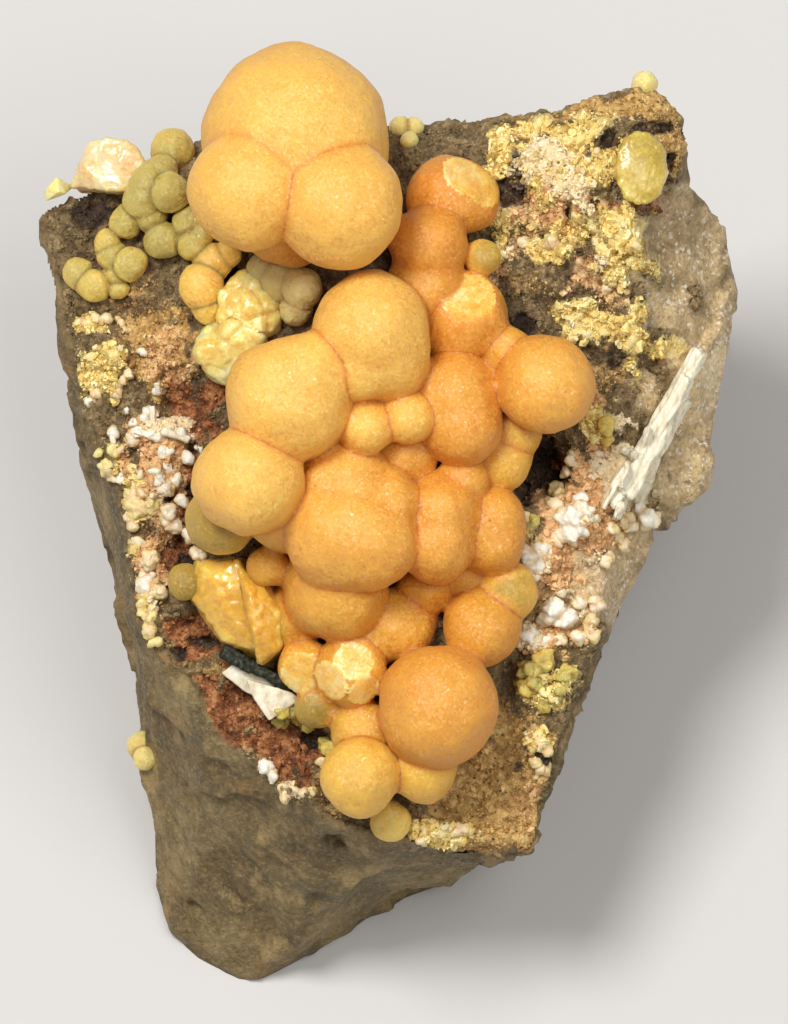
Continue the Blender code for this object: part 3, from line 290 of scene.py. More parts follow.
# The edge of the rough mineral face, drawn round its rim: outside it the rock is a plain break.
FACE_RIM = [
    (-18.6, 16.2), (-17.5, 10.5), (-16.3, 5.0), (-14.6, 1.2), (-13.6, -4.5), (-12.2, -6.8),
    (-9.6, -11.0), (-6.2, -14.6), (-3.0, -16.3), (0.5, -17.2), (3.5, -18.2), (7.3, -18.2),
    (8.6, -13.0), (10.6, -8.3), (11.6, -5.8), (12.9, -1.2), (14.8, 1.8), (16.4, 4.5), (17.2, 9.5),
    (15.3, 14.6), (14.9, 17.0), (15.9, 21.0), (13.4, 23.0), (8.5, 21.2), (0.0, 20.8),
    (-10.0, 20.4), (-16.0, 18.4),
]
# Patches of the rock's colours and crusts: across, along, half width, half length, strength.
YELLOW_PATCHES = [
    (8.7, 18.4, 3.9, 2.2, 0.85), (9.6, 14.6, 3.2, 1.2, 0.55), (6.6, 20.0, 1.8, 0.7, 0.5),
    (10.3, 20.5, 2.1, 0.7, 0.5), (12.1, 13.9, 1.6, 2.1, 1.0), (7.7, 14.0, 1.3, 0.7, 0.75),
    (10.2, 10.0, 1.8, 1.2, 0.85), (12.6, 9.4, 0.8, 1.7, 0.95), (14.2, 8.6, 1.4, 0.6, 0.75),
    (10.9, 4.6, 0.9, 1.3, 0.85), (-15.7, 9.9, 1.2, 0.5, 0.75), (-15.5, 7.4, 1.3, 1.5, 1.0),
    (-15.0, 2.5, 0.6, 1.1, 0.85), (-13.6, 0.6, 0.8, 1.2, 0.9), (-13.2, -5.8, 0.5, 1.5, 0.75),
    (2.4, -17.1, 1.6, 0.8, 0.95), (7.7, -12.6, 0.7, 1.2, 0.75), (-3.6, -13.6, 0.7, 0.6, 0.7),
    (-5.8, -14.7, 0.9, 0.5, 0.6), (8.2, -9.4, 1.8, 1.4, 0.55), (5.8, -5.2, 0.7, 0.7, 0.4),
    (7.2, -1.7, 1.2, 1.3, 0.5), (4.0, 13.5, 0.8, 0.9, 0.5), (5.6, 14.7, 0.6, 1.2, 0.6),
    (-13.8, -2.1, 0.6, 0.7, 0.5),
]
CREAM_PATCHES = [
    (8.4, 17.2, 3.2, 2.6, 0.8), (10.6, 12.6, 2.2, 1.4, 0.55), (-12.3, 2.6, 1.6, 2.6, 0.6),
    (-12.8, -2.4, 0.9, 2.2, 0.7), (9.3, -1.2, 2.8, 3.8, 0.9), (-12.2, 3.9, 1.7, 1.4, 0.75),
    (-12.9, 1.8, 1.3, 1.2, 0.75), (-12.0, -0.4, 0.8, 1.2, 0.8), (-12.9, -3.6, 0.6, 1.8, 0.75),
    (-14.1, 2.2, 0.6, 1.4, 0.6), (-13.4, -6.3, 0.5, 1.4, 0.7), (-11.9, 8.2, 1.5, 1.6, 0.5),
    (9.9, 6.0, 1.2, 1.1, 0.75), (8.5, 0.2, 1.6, 2.1, 0.8), (10.8, 1.8, 1.8, 1.8, 0.85),
    (7.9, -2.3, 1.5, 1.2, 0.8), (10.4, -4.4, 1.2, 1.2, 0.7), (8.5, -6.5, 1.8, 0.9, 0.8),
    (11.5, -1.7, 0.8, 1.3, 0.7), (7.7, 16.9, 1.3, 1.7, 0.6), (9.5, 14.6, 1.2, 1.1, 0.5),
    (5.6, 13.3, 0.8, 1.6, 0.5), (11.4, 11.2, 1.6, 1.1, 0.4), (13.5, 6.9, 0.5, 0.5, 0.4),
    (-7.6, -13.1, 0.6, 0.8, 0.5), (6.1, 3.3, 0.6, 0.6, 0.5), (7.2, -15.2, 0.9, 1.4, 0.4),
    (2.9, -14.6, 1.2, 0.6, 0.4),
]
WHITE_PATCHES = [
    (8.0, 18.3, 1.9, 1.3, 0.56), (9.6, 17.1, 0.9, 1.3, 0.62), (9.5, -0.2, 0.7, 0.7, 1.0),
    (7.7, -2.6, 0.7, 0.6, 0.9), (7.2, -6.5, 0.8, 0.7, 0.9), (12.0, 2.3, 1.2, 1.9, 0.95),
    (-6.8, -13.6, 0.5, 0.5, 1.0), (-5.5, -14.7, 0.6, 0.4, 0.7), (-11.8, 4.5, 1.4, 0.5, 0.7),
    (-12.3, 0.6, 0.6, 0.5, 0.6), (13.7, 0.4, 0.6, 0.9, 0.5), (10.9, -2.9, 1.0, 0.8, 0.6),
    (9.6, -5.4, 1.2, 0.6, 0.7), (11.9, 0.2, 0.9, 0.8, 0.6), (-12.8, -4.9, 0.3, 0.7, 0.7),
    (-10.8, 3.9, 0.4, 0.3, 0.8), (10.8, 13.2, 0.5, 0.5, 0.5),
]
RUST_PATCHES = [
    (-10.6, -6.6, 1.4, 1.4, 1.0), (-8.8, -10.0, 1.8, 1.7, 0.95), (-5.7, -12.4, 2.1, 1.8, 0.95),
    (-9.5, 6.3, 0.7, 0.7, 1.0), (-10.5, 4.6, 1.6, 1.7, 0.7), (-10.7, 1.4, 0.9, 2.2, 1.0),
    (-11.2, -2.6, 1.2, 1.2, 1.0), (9.6, 18.5, 0.2, 2.2, 0.95), (9.1, 15.5, 0.7, 1.2, 1.0),
    (11.4, 17.9, 0.2, 1.2, 0.8), (14.3, 16.3, 0.7, 0.6, 1.0), (12.9, 16.1, 1.4, 0.3, 0.85),
    (8.0, 2.0, 1.4, 1.4, 0.6), (10.9, 2.8, 0.5, 0.6, 0.6), (14.0, 8.1, 0.4, 0.3, 0.6),
    (-13.9, 11.2, 1.6, 1.3, 0.3), (-8.1, -8.8, 0.7, 0.4, 0.6), (-12.8, -1.2, 0.6, 0.7, 0.5),
    (6.6, -15.2, 0.8, 1.1, 0.4), (10.8, -0.4, 0.9, 1.1, 0.4), (9.5, -3.3, 0.9, 0.6, 0.5),
    (4.0, 11.2, 0.5, 1.6, 0.5), (-11.3, 6.9, 0.9, 0.8, 0.7),
]
SAND_PATCHES = [
    (5.1, -14.6, 3.7, 3.8, 0.95), (4.0, -16.8, 2.6, 1.5, 0.85), (6.6, -16.2, 2.1, 2.1, 0.85),
    (5.6, -11.7, 2.3, 1.8, 0.6), (12.2, 21.4, 3.2, 0.9, 0.85), (-12.4, 8.8, 2.0, 2.0, 0.75),
    (14.1, 19.6, 1.4, 2.2, 0.75), (8.7, 21.0, 3.2, 0.5, 0.6), (-12.8, 9.6, 2.6, 2.1, 0.45),
    (-13.9, 11.7, 1.8, 1.6, 0.35), (7.9, 14.8, 2.3, 1.6, 0.5), (10.3, 7.5, 2.4, 1.4, 0.45),
    (7.9, 4.8, 1.6, 1.3, 0.5), (8.7, -5.2, 2.4, 2.4, 0.5), (-2.3, -15.2, 3.2, 0.6, 0.4),
    (-4.9, -6.7, 8.4, 8.4, 0.35), (6.6, 12.2, 1.6, 0.8, 0.4), (-7.8, -6.7, 2.1, 3.2, 0.5),
]
# Dark patches: black green stains, holes and pits painted near black as painted shade, and last a
# faint painted shade on the rock under the cluster of balls.
DARK_STAIN_AND_SHADE_PATCHES = [
    (7.6, 2.2, 1.1, 1.7, 1.0), (-10.2, -6.8, 0.7, 0.5, 0.8), (-4.2, -11.9, 0.8, 0.6, 1.0),
    (-4.9, -10.3, 0.6, 0.4, 0.95), (6.2, 16.9, 0.9, 1.4, 0.6), (6.6, 9.6, 1.4, 0.9, 0.75),
    (-15.7, 15.8, 1.9, 0.9, 0.6), (11.3, 19.7, 0.5, 0.6, 0.8), (14.5, 18.1, 0.4, 0.9, 0.85),
    (8.0, -12.8, 0.5, 0.4, 0.9), (0.4, -17.1, 0.4, 0.4, 0.85), (-8.8, 12.4, 0.6, 0.7, 0.7),
    (-11.3, -7.4, 0.5, 0.4, 0.8), (13.7, 20.2, 1.4, 0.3, 0.6), (9.5, 12.7, 2.1, 0.5, 0.35),
    (11.2, 8.1, 2.1, 0.6, 0.5), (9.1, 15.7, 0.3, 0.6, 0.6), (-10.3, 0.8, 0.45, 1.3, 0.9),
    (-10.6, 3.3, 0.3, 0.4, 0.8), (-11.0, -2.9, 0.6, 0.6, 0.9), (-11.9, 0.6, 0.25, 0.4, 0.8),
    (-16.0, 6.4, 0.7, 0.3, 0.4), (-4.9, 0.6, 6.3, 11.6, 0.3),
]
QUARTZ_PATCHES = [
    (15.6, 13.8, 3.1, 3.5, 1.0), (16.7, 8.5, 2.4, 5.8, 1.0), (15.8, 3.3, 2.4, 4.8, 1.0),
    (13.6, 14.3, 0.9, 2.0, 0.8), (10.8, -4.2, 2.5, 1.8, 0.9), (14.4, 11.2, 1.4, 2.1, 0.9),
    (12.9, -2.5, 1.6, 2.6, 0.9), (13.5, 6.3, 1.0, 1.2, 0.95), (11.9, -5.0, 1.4, 1.2, 0.9),
]

# The zones of the mineral face in the order that they lie over each other, and how far each
# stands over the bare rock, in millimetres.
ZONES = {
    "sand": (SAND_PATCHES, 0.04), "rust": (RUST_PATCHES, -0.2), "cream": (CREAM_PATCHES, 0.16),
    "yellow": (YELLOW_PATCHES, 0.26), "white": (WHITE_PATCHES, 0.22), "dark": (DARK_STAIN_AND_SHADE_PATCHES, -0.4),
    "quartz": (QUARTZ_PATCHES, 0.0),
}
# The mineral face ends in this band inside its rim, between these heights out of the drawing
# plane, and where the rock turns this far away from it.
FACE_EDGE = (-0.3, 0.4)
FACE_FLOOR = (-9.0, -6.5)
FACE_TURN = (-0.6, -0.1)
# Flats chipped off the rock: seed, how many, reach, lean and deepest cut, in millimetres.
STONE_CHIPS = [(3, 150, 3.6, 0.09, 0.5), (5, 600, 1.5, 0.16, 0.34)]
GLASS_CHIPS = [(9, 70, 3.0, 0.13, 0.5), (12, 160, 1.1, 0.13, 0.24)]
DEEPEST_CHIP = 0.5
# Between these heights out of the drawing plane the glassy break turns into plain rock.
GLASS_ENDS = (-17.0, -9.0)
# Lower than this, in millimetres over the ground, the rock's skin lies flat on it.
FLAT_BASE = 0.25
# The fine sheet of the mineral face ends at this height out of the drawing plane, and it has
# this height where there is no rock under it.
SHEET_FLOOR = -8.0
NOWHERE = -99.0

# A place on the face is hidden where balls lie over it, between these heights above it.
ABOVE = 0.2
COVER = 30.0
# How the strewn crystals are made: the mask they follow, how many to a square millimetre,
# smallest and largest size in millimetres, lean and seed.
GRAINS = {
    "coarse_grains": ("grainy", 16.0, 0.14, 0.4, 3.1, 3),
    "fine_grains": ("grainy", 42.0, 0.08, 0.2, 3.1, 5),
    "crust_tablets": ("crusty", 24.0, 0.14, 0.5, 1.1, 7),
    "pale_beads": ("beady", 9.0, 0.12, 0.4, 3.1, 11),
}

# Each soft light: name, place and size in metres, power in watts, and colour.
LIGHTS = [
    ("key", (-0.2, 0.08, 0.6), 0.22, 3.15, (1.0, 0.985, 0.96)),
    ("fill", (0.22, -0.12, 0.55), 0.4, 1.3, (1.0, 0.99, 0.98)),
]
ROOM_COLOUR = (1.0, 0.99, 0.97, 1.0)
ROOM_STRENGTH = 0.3
FLOOR_RADIUS = 1.6  # metres


def to_world(points):
    """Points of the drawing plane, in millimetres, as points over the ground in metres."""
    return (np.asarray(points) @ AXES + MIDDLE_POINT) * MM


def to_plane(points):
    """Points over the ground, in metres, as points of the drawing plane in millimetres."""
    return (np.asarray(points) / MM - MIDDLE_POINT) @ AXES.T


def places_of(mesh):
    """The corners of a mesh as rows of numbers, in metres."""
    places = np.empty(len(mesh.vertices) * 3, np.float32)
    mesh.vertices.foreach_get("co", places)
    return places.reshape(-1, 3).astype(float)


def moved_to(mesh, places):
    """Moves the corners of a mesh to these places, in metres."""
    mesh.vertices.foreach_set("co", np.asarray(places, np.float32).ravel())
    mesh.update()


def normals_of(mesh):
    """The way out at each corner of a mesh."""
    places = places_of(mesh)
    mesh.calc_loop_triangles()
    corners = np.empty(len(mesh.loop_triangles) * 3, np.int32)
    mesh.loop_triangles.foreach_get("vertices", corners)
    corners = corners.reshape(-1, 3)
    first, second, third = (places[corners[:, i]] for i in range(3))
    faces = np.cross(second - first, third - first)
    normals = np.zeros_like(places)
    for i in range(3):
        np.add.at(normals, corners[:, i], faces)
    return normals / np.maximum(np.linalg.norm(normals, axis=1), 1e-20)[:, None]


def fractal(points, size, octaves=3, shift=(0.0, 0.0, 0.0)):
    """Rolling noise from about -1 to 1, with its largest waves of this size."""
    shifted = np.asarray(points) / size + np.array(shift)
    return np.array([noise.fractal(Vector(p), 1.0, 2.0, octaves) for p in shifted])


def cells(points, size, shift=(0.0, 0.0, 0.0)):
    """Distances to the nearest and the next cell centre, in cells of this size."""
    shifted = np.asarray(points) / size + np.array(shift)
    return np.array([noise.voronoi(Vector(p))[0][:2] for p in shifted])


def facets(points, size, rim):
    """Distance to the cell's centre, and a rise to 1 within this width of the cell's rim."""
    near, second = cells(points, size).T
    return near, np.clip(second - near, 0.0, rim) / rim


def attribute(mesh, name, values):
    """Keeps one number for each corner of the mesh, for its material to read."""
    layer = mesh.attributes.new(name, "FLOAT", "POINT")
    layer.data.foreach_set("value", np.asarray(values, np.float32))


def kept(mesh, name):
    """The numbers that the mesh keeps under this name."""
    values = np.empty(len(mesh.vertices), np.float32)
    mesh.attributes[name].data.foreach_get("value", values)
    return values


def smooth_step(values, low, high):
    """0 below low, 1 above high, and smooth in between."""
    share = np.clip((np.asarray(values) - low) / (high - low), 0.0, 1.0)
    return share * share * (3.0 - 2.0 * share)


def linked(name, mesh):
    """A new object of the scene with this mesh."""
    made = bpy.data.objects.new(name, mesh)
    bpy.context.scene.collection.objects.link(made)
    return made


def settled(obj):
    """Replaces the object's mesh by the one that its modifiers make."""
    graph = bpy.context.evaluated_depsgraph_get()
    mesh = bpy.data.meshes.new_from_object(obj.evaluated_get(graph))
    obj.modifiers.clear()
    obj.data = mesh
    return obj


def in_order(obj):
    """Sorts the corners and faces by place, so that every run counts them alike."""
    places = places_of(obj.data)
    order = np.lexsort(np.round(places / MM, 3).T)
    rank = np.empty(len(order), int)
    rank[order] = np.arange(len(order))
    faces = []
    for face in obj.data.polygons:
        ring = [int(rank[i]) for i in face.vertices]
        first = ring.index(min(ring))
        faces.append(tuple(ring[first:] + ring[:first]))
    mesh = bpy.data.meshes.new(obj.name)
    mesh.from_pydata(places[order].tolist(), [], sorted(faces))
    obj.data = mesh
    return obj


def sealed(obj, voxel):
    """Gives the object a fresh closed skin round everything that it holds."""
    remesh = obj.modifiers.new("Seal", "REMESH")
    remesh.mode = "VOXEL"
    remesh.voxel_size = voxel * MM
    return in_order(settled(obj))


def thinned(obj, triangles):
    """Joins the flattest triangles until no more than this many are left."""
    obj.data.calc_loop_triangles()
    count = len(obj.data.loop_triangles)
    if count > triangles:
        decimate = obj.modifiers.new("Thin", "DECIMATE")
        decimate.ratio = triangles / count
        settled(obj)


def kept_in_box(places):
    """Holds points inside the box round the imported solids."""
    slack = 0.01 * MM
    return np.clip(places, np.array(cad_low) + slack, np.array(cad_high) - slack)


class Solid:
    """A ball or block: its corners or centre and radius, and the flat breaks round it."""

    def __init__(self, centre, radius, planes, corners=None, tint=0.5):
        self.centre = np.array(centre, float)
        self.radius = radius
        self.planes = planes
        self.corners = corners
        self.tint = tint

    def depth(self, points):
        """How far each point is outside, which way is out, and whether a break is nearest."""
        towards = points - self.centre
        lengths = np.linalg.norm(towards, axis=1)
        depth = lengths - self.radius
        slope = towards / np.maximum(lengths, 1e-6)[:, None]
        broken = np.zeros(len(points), bool)
        for normal, far in self.planes:
            beyond = points @ normal - far
            above = beyond > depth
            depth = np.where(above, beyond, depth)
            slope = np.where(above[:, None], normal, slope)
            broken |= above
        return depth, slope, broken

    def shape(self):
        """Its own closed mesh, in the drawing plane."""
        shape = bmesh.new()
        if self.corners is not None:
            verts = [shape.verts.new(c) for c in self.corners]
            hull = bmesh.ops.convex_hull(shape, input=verts)
            inner = [v for v in hull["geom_interior"] if isinstance(v, bmesh.types.BMVert)]
            bmesh.ops.delete(shape, geom=inner, context="VERTS")
            return shape
        bmesh.ops.create_icosphere(shape, subdivisions=4, radius=self.radius)
        bmesh.ops.translate(shape, verts=shape.verts[:], vec=Vector(self.centre))
        for normal, far in self.planes:
            everything = shape.verts[:] + shape.edges[:] + shape.faces[:]
            cut = bmesh.ops.bisect_plane(
                shape, geom=everything, plane_co=Vector(normal * far), plane_no=Vector(normal),
                clear_outer=True,
            )
            rim = [e for e in cut["geom_cut"] if isinstance(e, bmesh.types.BMEdge)]
            bmesh.ops.contextual_create(shape, geom=rim)
        return shape


def ball(entry, breaks=()):
    """A ball from its centre, radius and tint, with its breaks."""
    centre = np.array(entry[:3], float)
    planes = []
    for right, up, out, far in breaks:
        normal = np.array((right, up, out), float)
        normal /= np.linalg.norm(normal)
        planes.append((normal, float(normal @ centre) + far))
    return Solid(centre, entry[3], planes, tint=entry[4])


def block(corners):
    """The convex block that these corners span."""
    shape = bmesh.new()
    verts = [shape.verts.new(c) for c in corners]
    bmesh.ops.convex_hull(shape, input=verts)
    bmesh.ops.recalc_face_normals(shape, faces=shape.faces[:])
    planes = {}
    for face in shape.faces:
        normal = np.array(face.normal)
        far = float(normal @ np.array(face.verts[0].co))
        planes[tuple(np.round([*normal, far], 3))] = (normal, far)
    shape.free()
    corners = np.array(corners, float)
    centre = corners.mean(axis=0)
    reach = float(np.linalg.norm(corners - centre, axis=1).max())
    return Solid(centre, reach, [planes[key] for key in sorted(planes)], corners)


class Field:
    """Solids grown together: their common skin, and what lies on it at each point."""

    CHUNK = 6000  # points read at a time
    CREASE_WIDTH = 0.35  # millimetres

    def __init__(self, solids, fillet):
        self.solids = solids
        self.fillet = fillet

    def read(self, points):
        """Depth, way out, tint, crease, broken share and height on the ball, for each point."""
        parts = [self._read(points[i:i + self.CHUNK]) for i in range(0, len(points), self.CHUNK)]
        return [np.concatenate(column) for column in zip(*parts)]

    def _read(self, points):
        rows = [solid.depth(points) for solid in self.solids]
        depths = np.stack([row[0] for row in rows], axis=1)
        slopes = np.stack([row[1] for row in rows], axis=1)
        broken = np.stack([row[2] for row in rows], axis=1).astype(float)
        nearest = depths.min(axis=1)
        share = np.exp(-(depths - nearest[:, None]) / self.fillet)
        total = share.sum(axis=1)
        share /= total[:, None]
        slope = np.einsum("ps,psk->pk", share, slopes)
        depth = nearest - self.fillet * np.log(total)
        crease = np.zeros(len(points))
        if len(self.solids) > 1:
            rows = np.arange(len(points))
            first, second = np.argpartition(depths, 1, axis=1)[:, :2].T
            gap = np.abs(depths[rows, second] - depths[rows, first])
            bend = 1.0 - np.einsum("pk,pk->p", slopes[rows, first], slopes[rows, second])
            crease = np.exp(-gap / self.CREASE_WIDTH) * smooth_step(bend, 0.12, 0.75)
        tints = np.array([solid.tint for solid in self.solids])
        centres = np.array([solid.centre for solid in self.solids])
        radii = np.array([solid.radius for solid in self.solids])
        mine = depths.argmin(axis=1)
        height = (points[:, 2] - centres[mine, 2]) / radii[mine]
        return (depth, slope, (share * tints).sum(axis=1), crease,
                (share * broken).sum(axis=1), height)


FIT_STEPS = 4  # how often the skin is drawn onto the solids


def grown(name, solids, voxel, fillet, roughen):
    """One fine closed skin round solids grown together, with what its material reads.

    The voxel is the width of its grid and the fillet that of the creases, in millimetres.
    """
    shape = bmesh.new()
    whole = bpy.data.meshes.new(name)
    for solid in solids:
        own = solid.shape()
        mesh = bpy.data.meshes.new("own")
        own.to_mesh(mesh)
        own.free()
        shape.from_mesh(mesh)
        bpy.data.meshes.remove(mesh)
    bmesh.ops.recalc_face_normals(shape, faces=shape.faces[:])
    for vert in shape.verts:
        vert.co *= MM
    shape.to_mesh(whole)
    shape.free()
    obj = sealed(linked(name, whole), voxel)
    field = Field(solids, fillet)
    points = places_of(obj.data) / MM
    for _ in range(FIT_STEPS):
        depth, slope = field.read(points)[:2]
        step = depth / np.maximum((slope**2).sum(axis=1), 0.3)
        points = points - slope * np.clip(step, -0.5 * voxel, 0.5 * voxel)[:, None]
    slope, tint, crease, broken, height = field.read(points)[1:]
    ways = slope / np.maximum(np.linalg.norm(slope, axis=1), 1e-6)[:, None]
    points = points + ways * roughen(points, crease, broken)[:, None]
    moved_to(obj.data, kept_in_box(to_world(points)))
    layers = {"tint": tint, "crease": crease, "broken": broken, "height": height}
    for layer, values in layers.items():
        attribute(obj.data, layer, values)
    obj.data.shade_smooth()
    return obj


def packed_rock():
    """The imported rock's triangles, joined at their corners."""
    shape = bmesh.new()
    shape.from_mesh(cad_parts["quartz_matrix"].data)
    bmesh.ops.remove_doubles(shape, verts=shape.verts[:], dist=1e-7)
    return shape


class Surface:
    """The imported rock, asked how far out it stands."""

    FAR = 30.0
    BESIDE = -4.0  # what the growths beside the rock stand on

    def __init__(self):
        shape = packed_rock()
        shape.verts.ensure_lookup_table()
        places = to_plane([tuple(v.co) for v in shape.verts])
        for vert, place in zip(shape.verts, places):
            vert.co = place
        shape.normal_update()
        self.tree = BVHTree.FromBMesh(shape)
        shape.free()

    def out_at(self, across, along, missing=BESIDE):
        """How far out the rock stands at this place of the drawing plane."""
        hit = self.tree.ray_cast((across, along, self.FAR), (0, 0, -1))[0]
        return missing if hit is None else hit.z


def balls_on(surface, entries):
    """Balls whose centres are given by their height over the rock."""
    return [ball((a, l, surface.out_at(a, l) + h, r, tint)) for a, l, h, r, tint in entries]


def crumbled(entries, seed):
    """Each small ball as three smaller ones that are thrown together."""
    draw = np.random.default_rng(seed)
    crumbs = []
    for across, along, height, radius, tint in entries:
        for _ in range(CRUMBS):
            shift = 0.4 * radius * draw.normal(size=3)
            crumbs.append((across + shift[0], along + shift[1], height + 0.5 * shift[2],
                           radius * draw.uniform(*CRUMB_SIZES), tint))
    return crumbs


def blocks_on(surface, blocks):
    """Blocks whose corners are given by their height over the rock under the block's middle."""
    solids = []
    for corners in blocks:
        across = sum(c[0] for c in corners) / len(corners)
        along = sum(c[1] for c in corners) / len(corners)
        base = surface.out_at(across, along)
        solids.append(block([(a, l, base + h) for a, l, h in corners]))
    return solids


def split_on(surface, split, rings):
    """A ball split along an oval break, as the hull of rings that narrow below the break."""
    across, along, height, half_width, half_length, fall_right, fall_up = split
    out = surface.out_at(across, along) + height
    corners = []
    for share, depth in rings:
        for step in range(SPLIT_SIDES):
            turn = math.tau * step / SPLIT_SIDES
            right = share * half_width * math.cos(turn)
            up = share * half_length * math.sin(turn)
            corners.append((across + right, along + up,
                            out - depth - fall_right * right - fall_up * up))
    return [block(corners)]


def blades_on(surface, blades):
    """Long flat blades that lie along the rock, with blunt ends."""
    solids = []
    for start, end, half_start, half_end, height in blades:
        start, end = Vector(start), Vector(end)
        side = (end - start).normalized().orthogonal()
        middle = (start + end) / 2.0
        bases = [surface.out_at(stand.x, stand.y) for stand in (start, middle, end)]
        lift = max(bases[1] - (bases[0] + bases[2]) / 2.0, 0.0) + height
        corners = []
        for stand, half, base in ((start, half_start, bases[0]), (end, half_end, bases[2])):
            for sign in (-1, 1):
                foot = stand + side * (sign * half)
                top = stand + side * (sign * half * BLADE_SHOULDER)
                top += (end - start) * (0.02 * sign)
                corners += [(foot.x, foot.y, base - BLADE_SUNK),
                            (foot.x, foot.y, base + lift * BLADE_SHOULDER),
                            (top.x, top.y, base + lift)]
        solids.append(block(corners))
    return solids


class Nodes:
    """A tree of nodes that is built one node at a time."""

    def __init__(self, tree):
        self.tree = tree

    def put(self, kind, settings=None, sockets=None):
        """Adds a node with these settings, feeds its sockets, and gives its outputs."""
        node = self.tree.nodes.new(kind)
        for name, value in (settings or {}).items():
            setattr(node, name, value)
        for key, value in (sockets or {}).items():
            value = value.socket if isinstance(value, Term) else value
            if isinstance(value, bpy.types.NodeSocket):
                self.tree.links.new(value, node.inputs[key])
            else:
                node.inputs[key].default_value = value
        return node.outputs


class Term:
    """A socket of a material's nodes, on which sums are written as Python."""

    def __init__(self, look, socket):
        self.look = look
        self.socket = socket

    def _sum(self, operation, *terms):
        sockets = dict(enumerate(terms))
        return self.look.add("ShaderNodeMath", {"operation": operation}, sockets)

    def __add__(self, other):
        return self._sum("ADD", self, other)

    __radd__ = __add__

    def __sub__(self, other):
        return self._sum("SUBTRACT", self, other)

    def __rsub__(self, other):
        return self._sum("SUBTRACT", other, self)

    def __mul__(self, other):
        return self._sum("MULTIPLY", self, other)

    __rmul__ = __mul__

    def over(self, low, high):
        """0 below low, 1 above high, and smooth in between."""
        settings = {"interpolation_type": "SMOOTHSTEP"}
        return self.look.add("ShaderNodeMapRange", settings, {0: self, 1: low, 2: high})


class Look(Nodes):
    """A material and its nodes."""

    def __init__(self, name):
        self.material = bpy.data.materials.new(name)
        self.material.use_nodes = True
        super().__init__(self.material.node_tree)
        self.tree.nodes.clear()

    def add(self, kind, settings=None, sockets=None, out=0):
        """Adds a node and gives one of its outputs."""
        return Term(self, self.put(kind, settings, sockets)[out])

    def millimetres(self, stretch=(1.0, 1.0, 1.0)):
        """The place on the object in millimetres."""
        place = self.add("ShaderNodeTexCoord", out="Object")
        scale = tuple(1000.0 * s for s in stretch)
        return self.add("ShaderNodeMapping", None, {"Vector": place, "Scale": scale})

    def noise(self, place, size, detail=3.0, roughness=0.55, distortion=0.0):
        """Clouds with their largest waves of this size."""
        sockets = {"Vector": place, "Scale": 1.0 / size, "Detail": detail,
                   "Roughness": roughness, "Distortion": distortion}
        return self.add("ShaderNodeTexNoise", None, sockets, "Fac")

    def cells(self, place, size, out="Distance"):
        """Cells of this size, as the distance to their middles or by their colour or place."""
        sockets = {"Vector": place, "Scale": 1.0 / size}
        return self.add("ShaderNodeTexVoronoi", None, sockets, out)

    def shades(self, place, size):
        """A shade of its own for each cell, from 0 to 1."""
        colour = self.cells(place, size, "Color")
        return self.add("ShaderNodeSeparateColor", None, {0: colour}, "Red")

    def druse(self, place, size):
        """Small crystal faces that lean each their own way, as a height in millimetres."""
        leans = {"operation": "SUBTRACT"}
        middle, own = self.cells(place, size, "Position"), self.cells(place, size, "Color")
        towards = self.add("ShaderNodeVectorMath", leans, {0: place, 1: middle})
        lean = self.add("ShaderNodeVectorMath", leans, {0: own, 1: (0.5, 0.5, 0.5)})
        settings = {"operation": "DOT_PRODUCT"}
        return self.add("ShaderNodeVectorMath", settings, {0: towards, 1: lean}, "Value")

    def layer(self, name):
        """A number kept on the mesh's corners."""
        settings = {"attribute_name": name, "attribute_type": "GEOMETRY"}
        return self.add("ShaderNodeAttribute", settings, None, "Fac")

    def ramp(self, factor, stops):
        """Colours that run from stop to stop as the factor grows."""
        ramp = self.add("ShaderNodeValToRGB", None, {0: factor}, "Color")
        elements = ramp.socket.node.color_ramp.elements
        while len(elements) < len(stops):
            elements.new(0.5)
        for element, (place, colour) in zip(elements, stops):
            element.position = place
            element.color = (*colour[:3], 1.0)
        return ramp

    def mix(self, factor, first, second, blend="MIX"):
        """The first colour with this share of the second over it."""
        settings = {"data_type": "RGBA", "blend_type": blend}
        first = first if isinstance(first, Term) else (*first[:3], 1.0)
        second = second if isinstance(second, Term) else (*second[:3], 1.0)
        return self.add("ShaderNodeMix", settings, {0: factor, 6: first, 7: second}, 2)

    def bump(self, height, distance, strength):
        """Low relief from a height, with its full depth given in millimetres."""
        sockets = {"Height": height, "Distance": distance * MM, "Strength": strength}
        return self.add("ShaderNodeBump", None, sockets)

    def finish(self, **sockets):
        """Ends the nodes in one shader, whose sockets are named with _ for a space."""
        fed = {name.replace("_", " "): value for name, value in sockets.items()}
        for name, value in fed.items():
            if isinstance(value, tuple) and len(value) == 3 and "Color" in name:
                fed[name] = (*value, 1.0)
        shader = self.add("ShaderNodeBsdfPrincipled", {"subsurface_method": "RANDOM_WALK"}, fed)
        self.put("ShaderNodeOutputMaterial", None, {"Surface": shader})
        return self.material


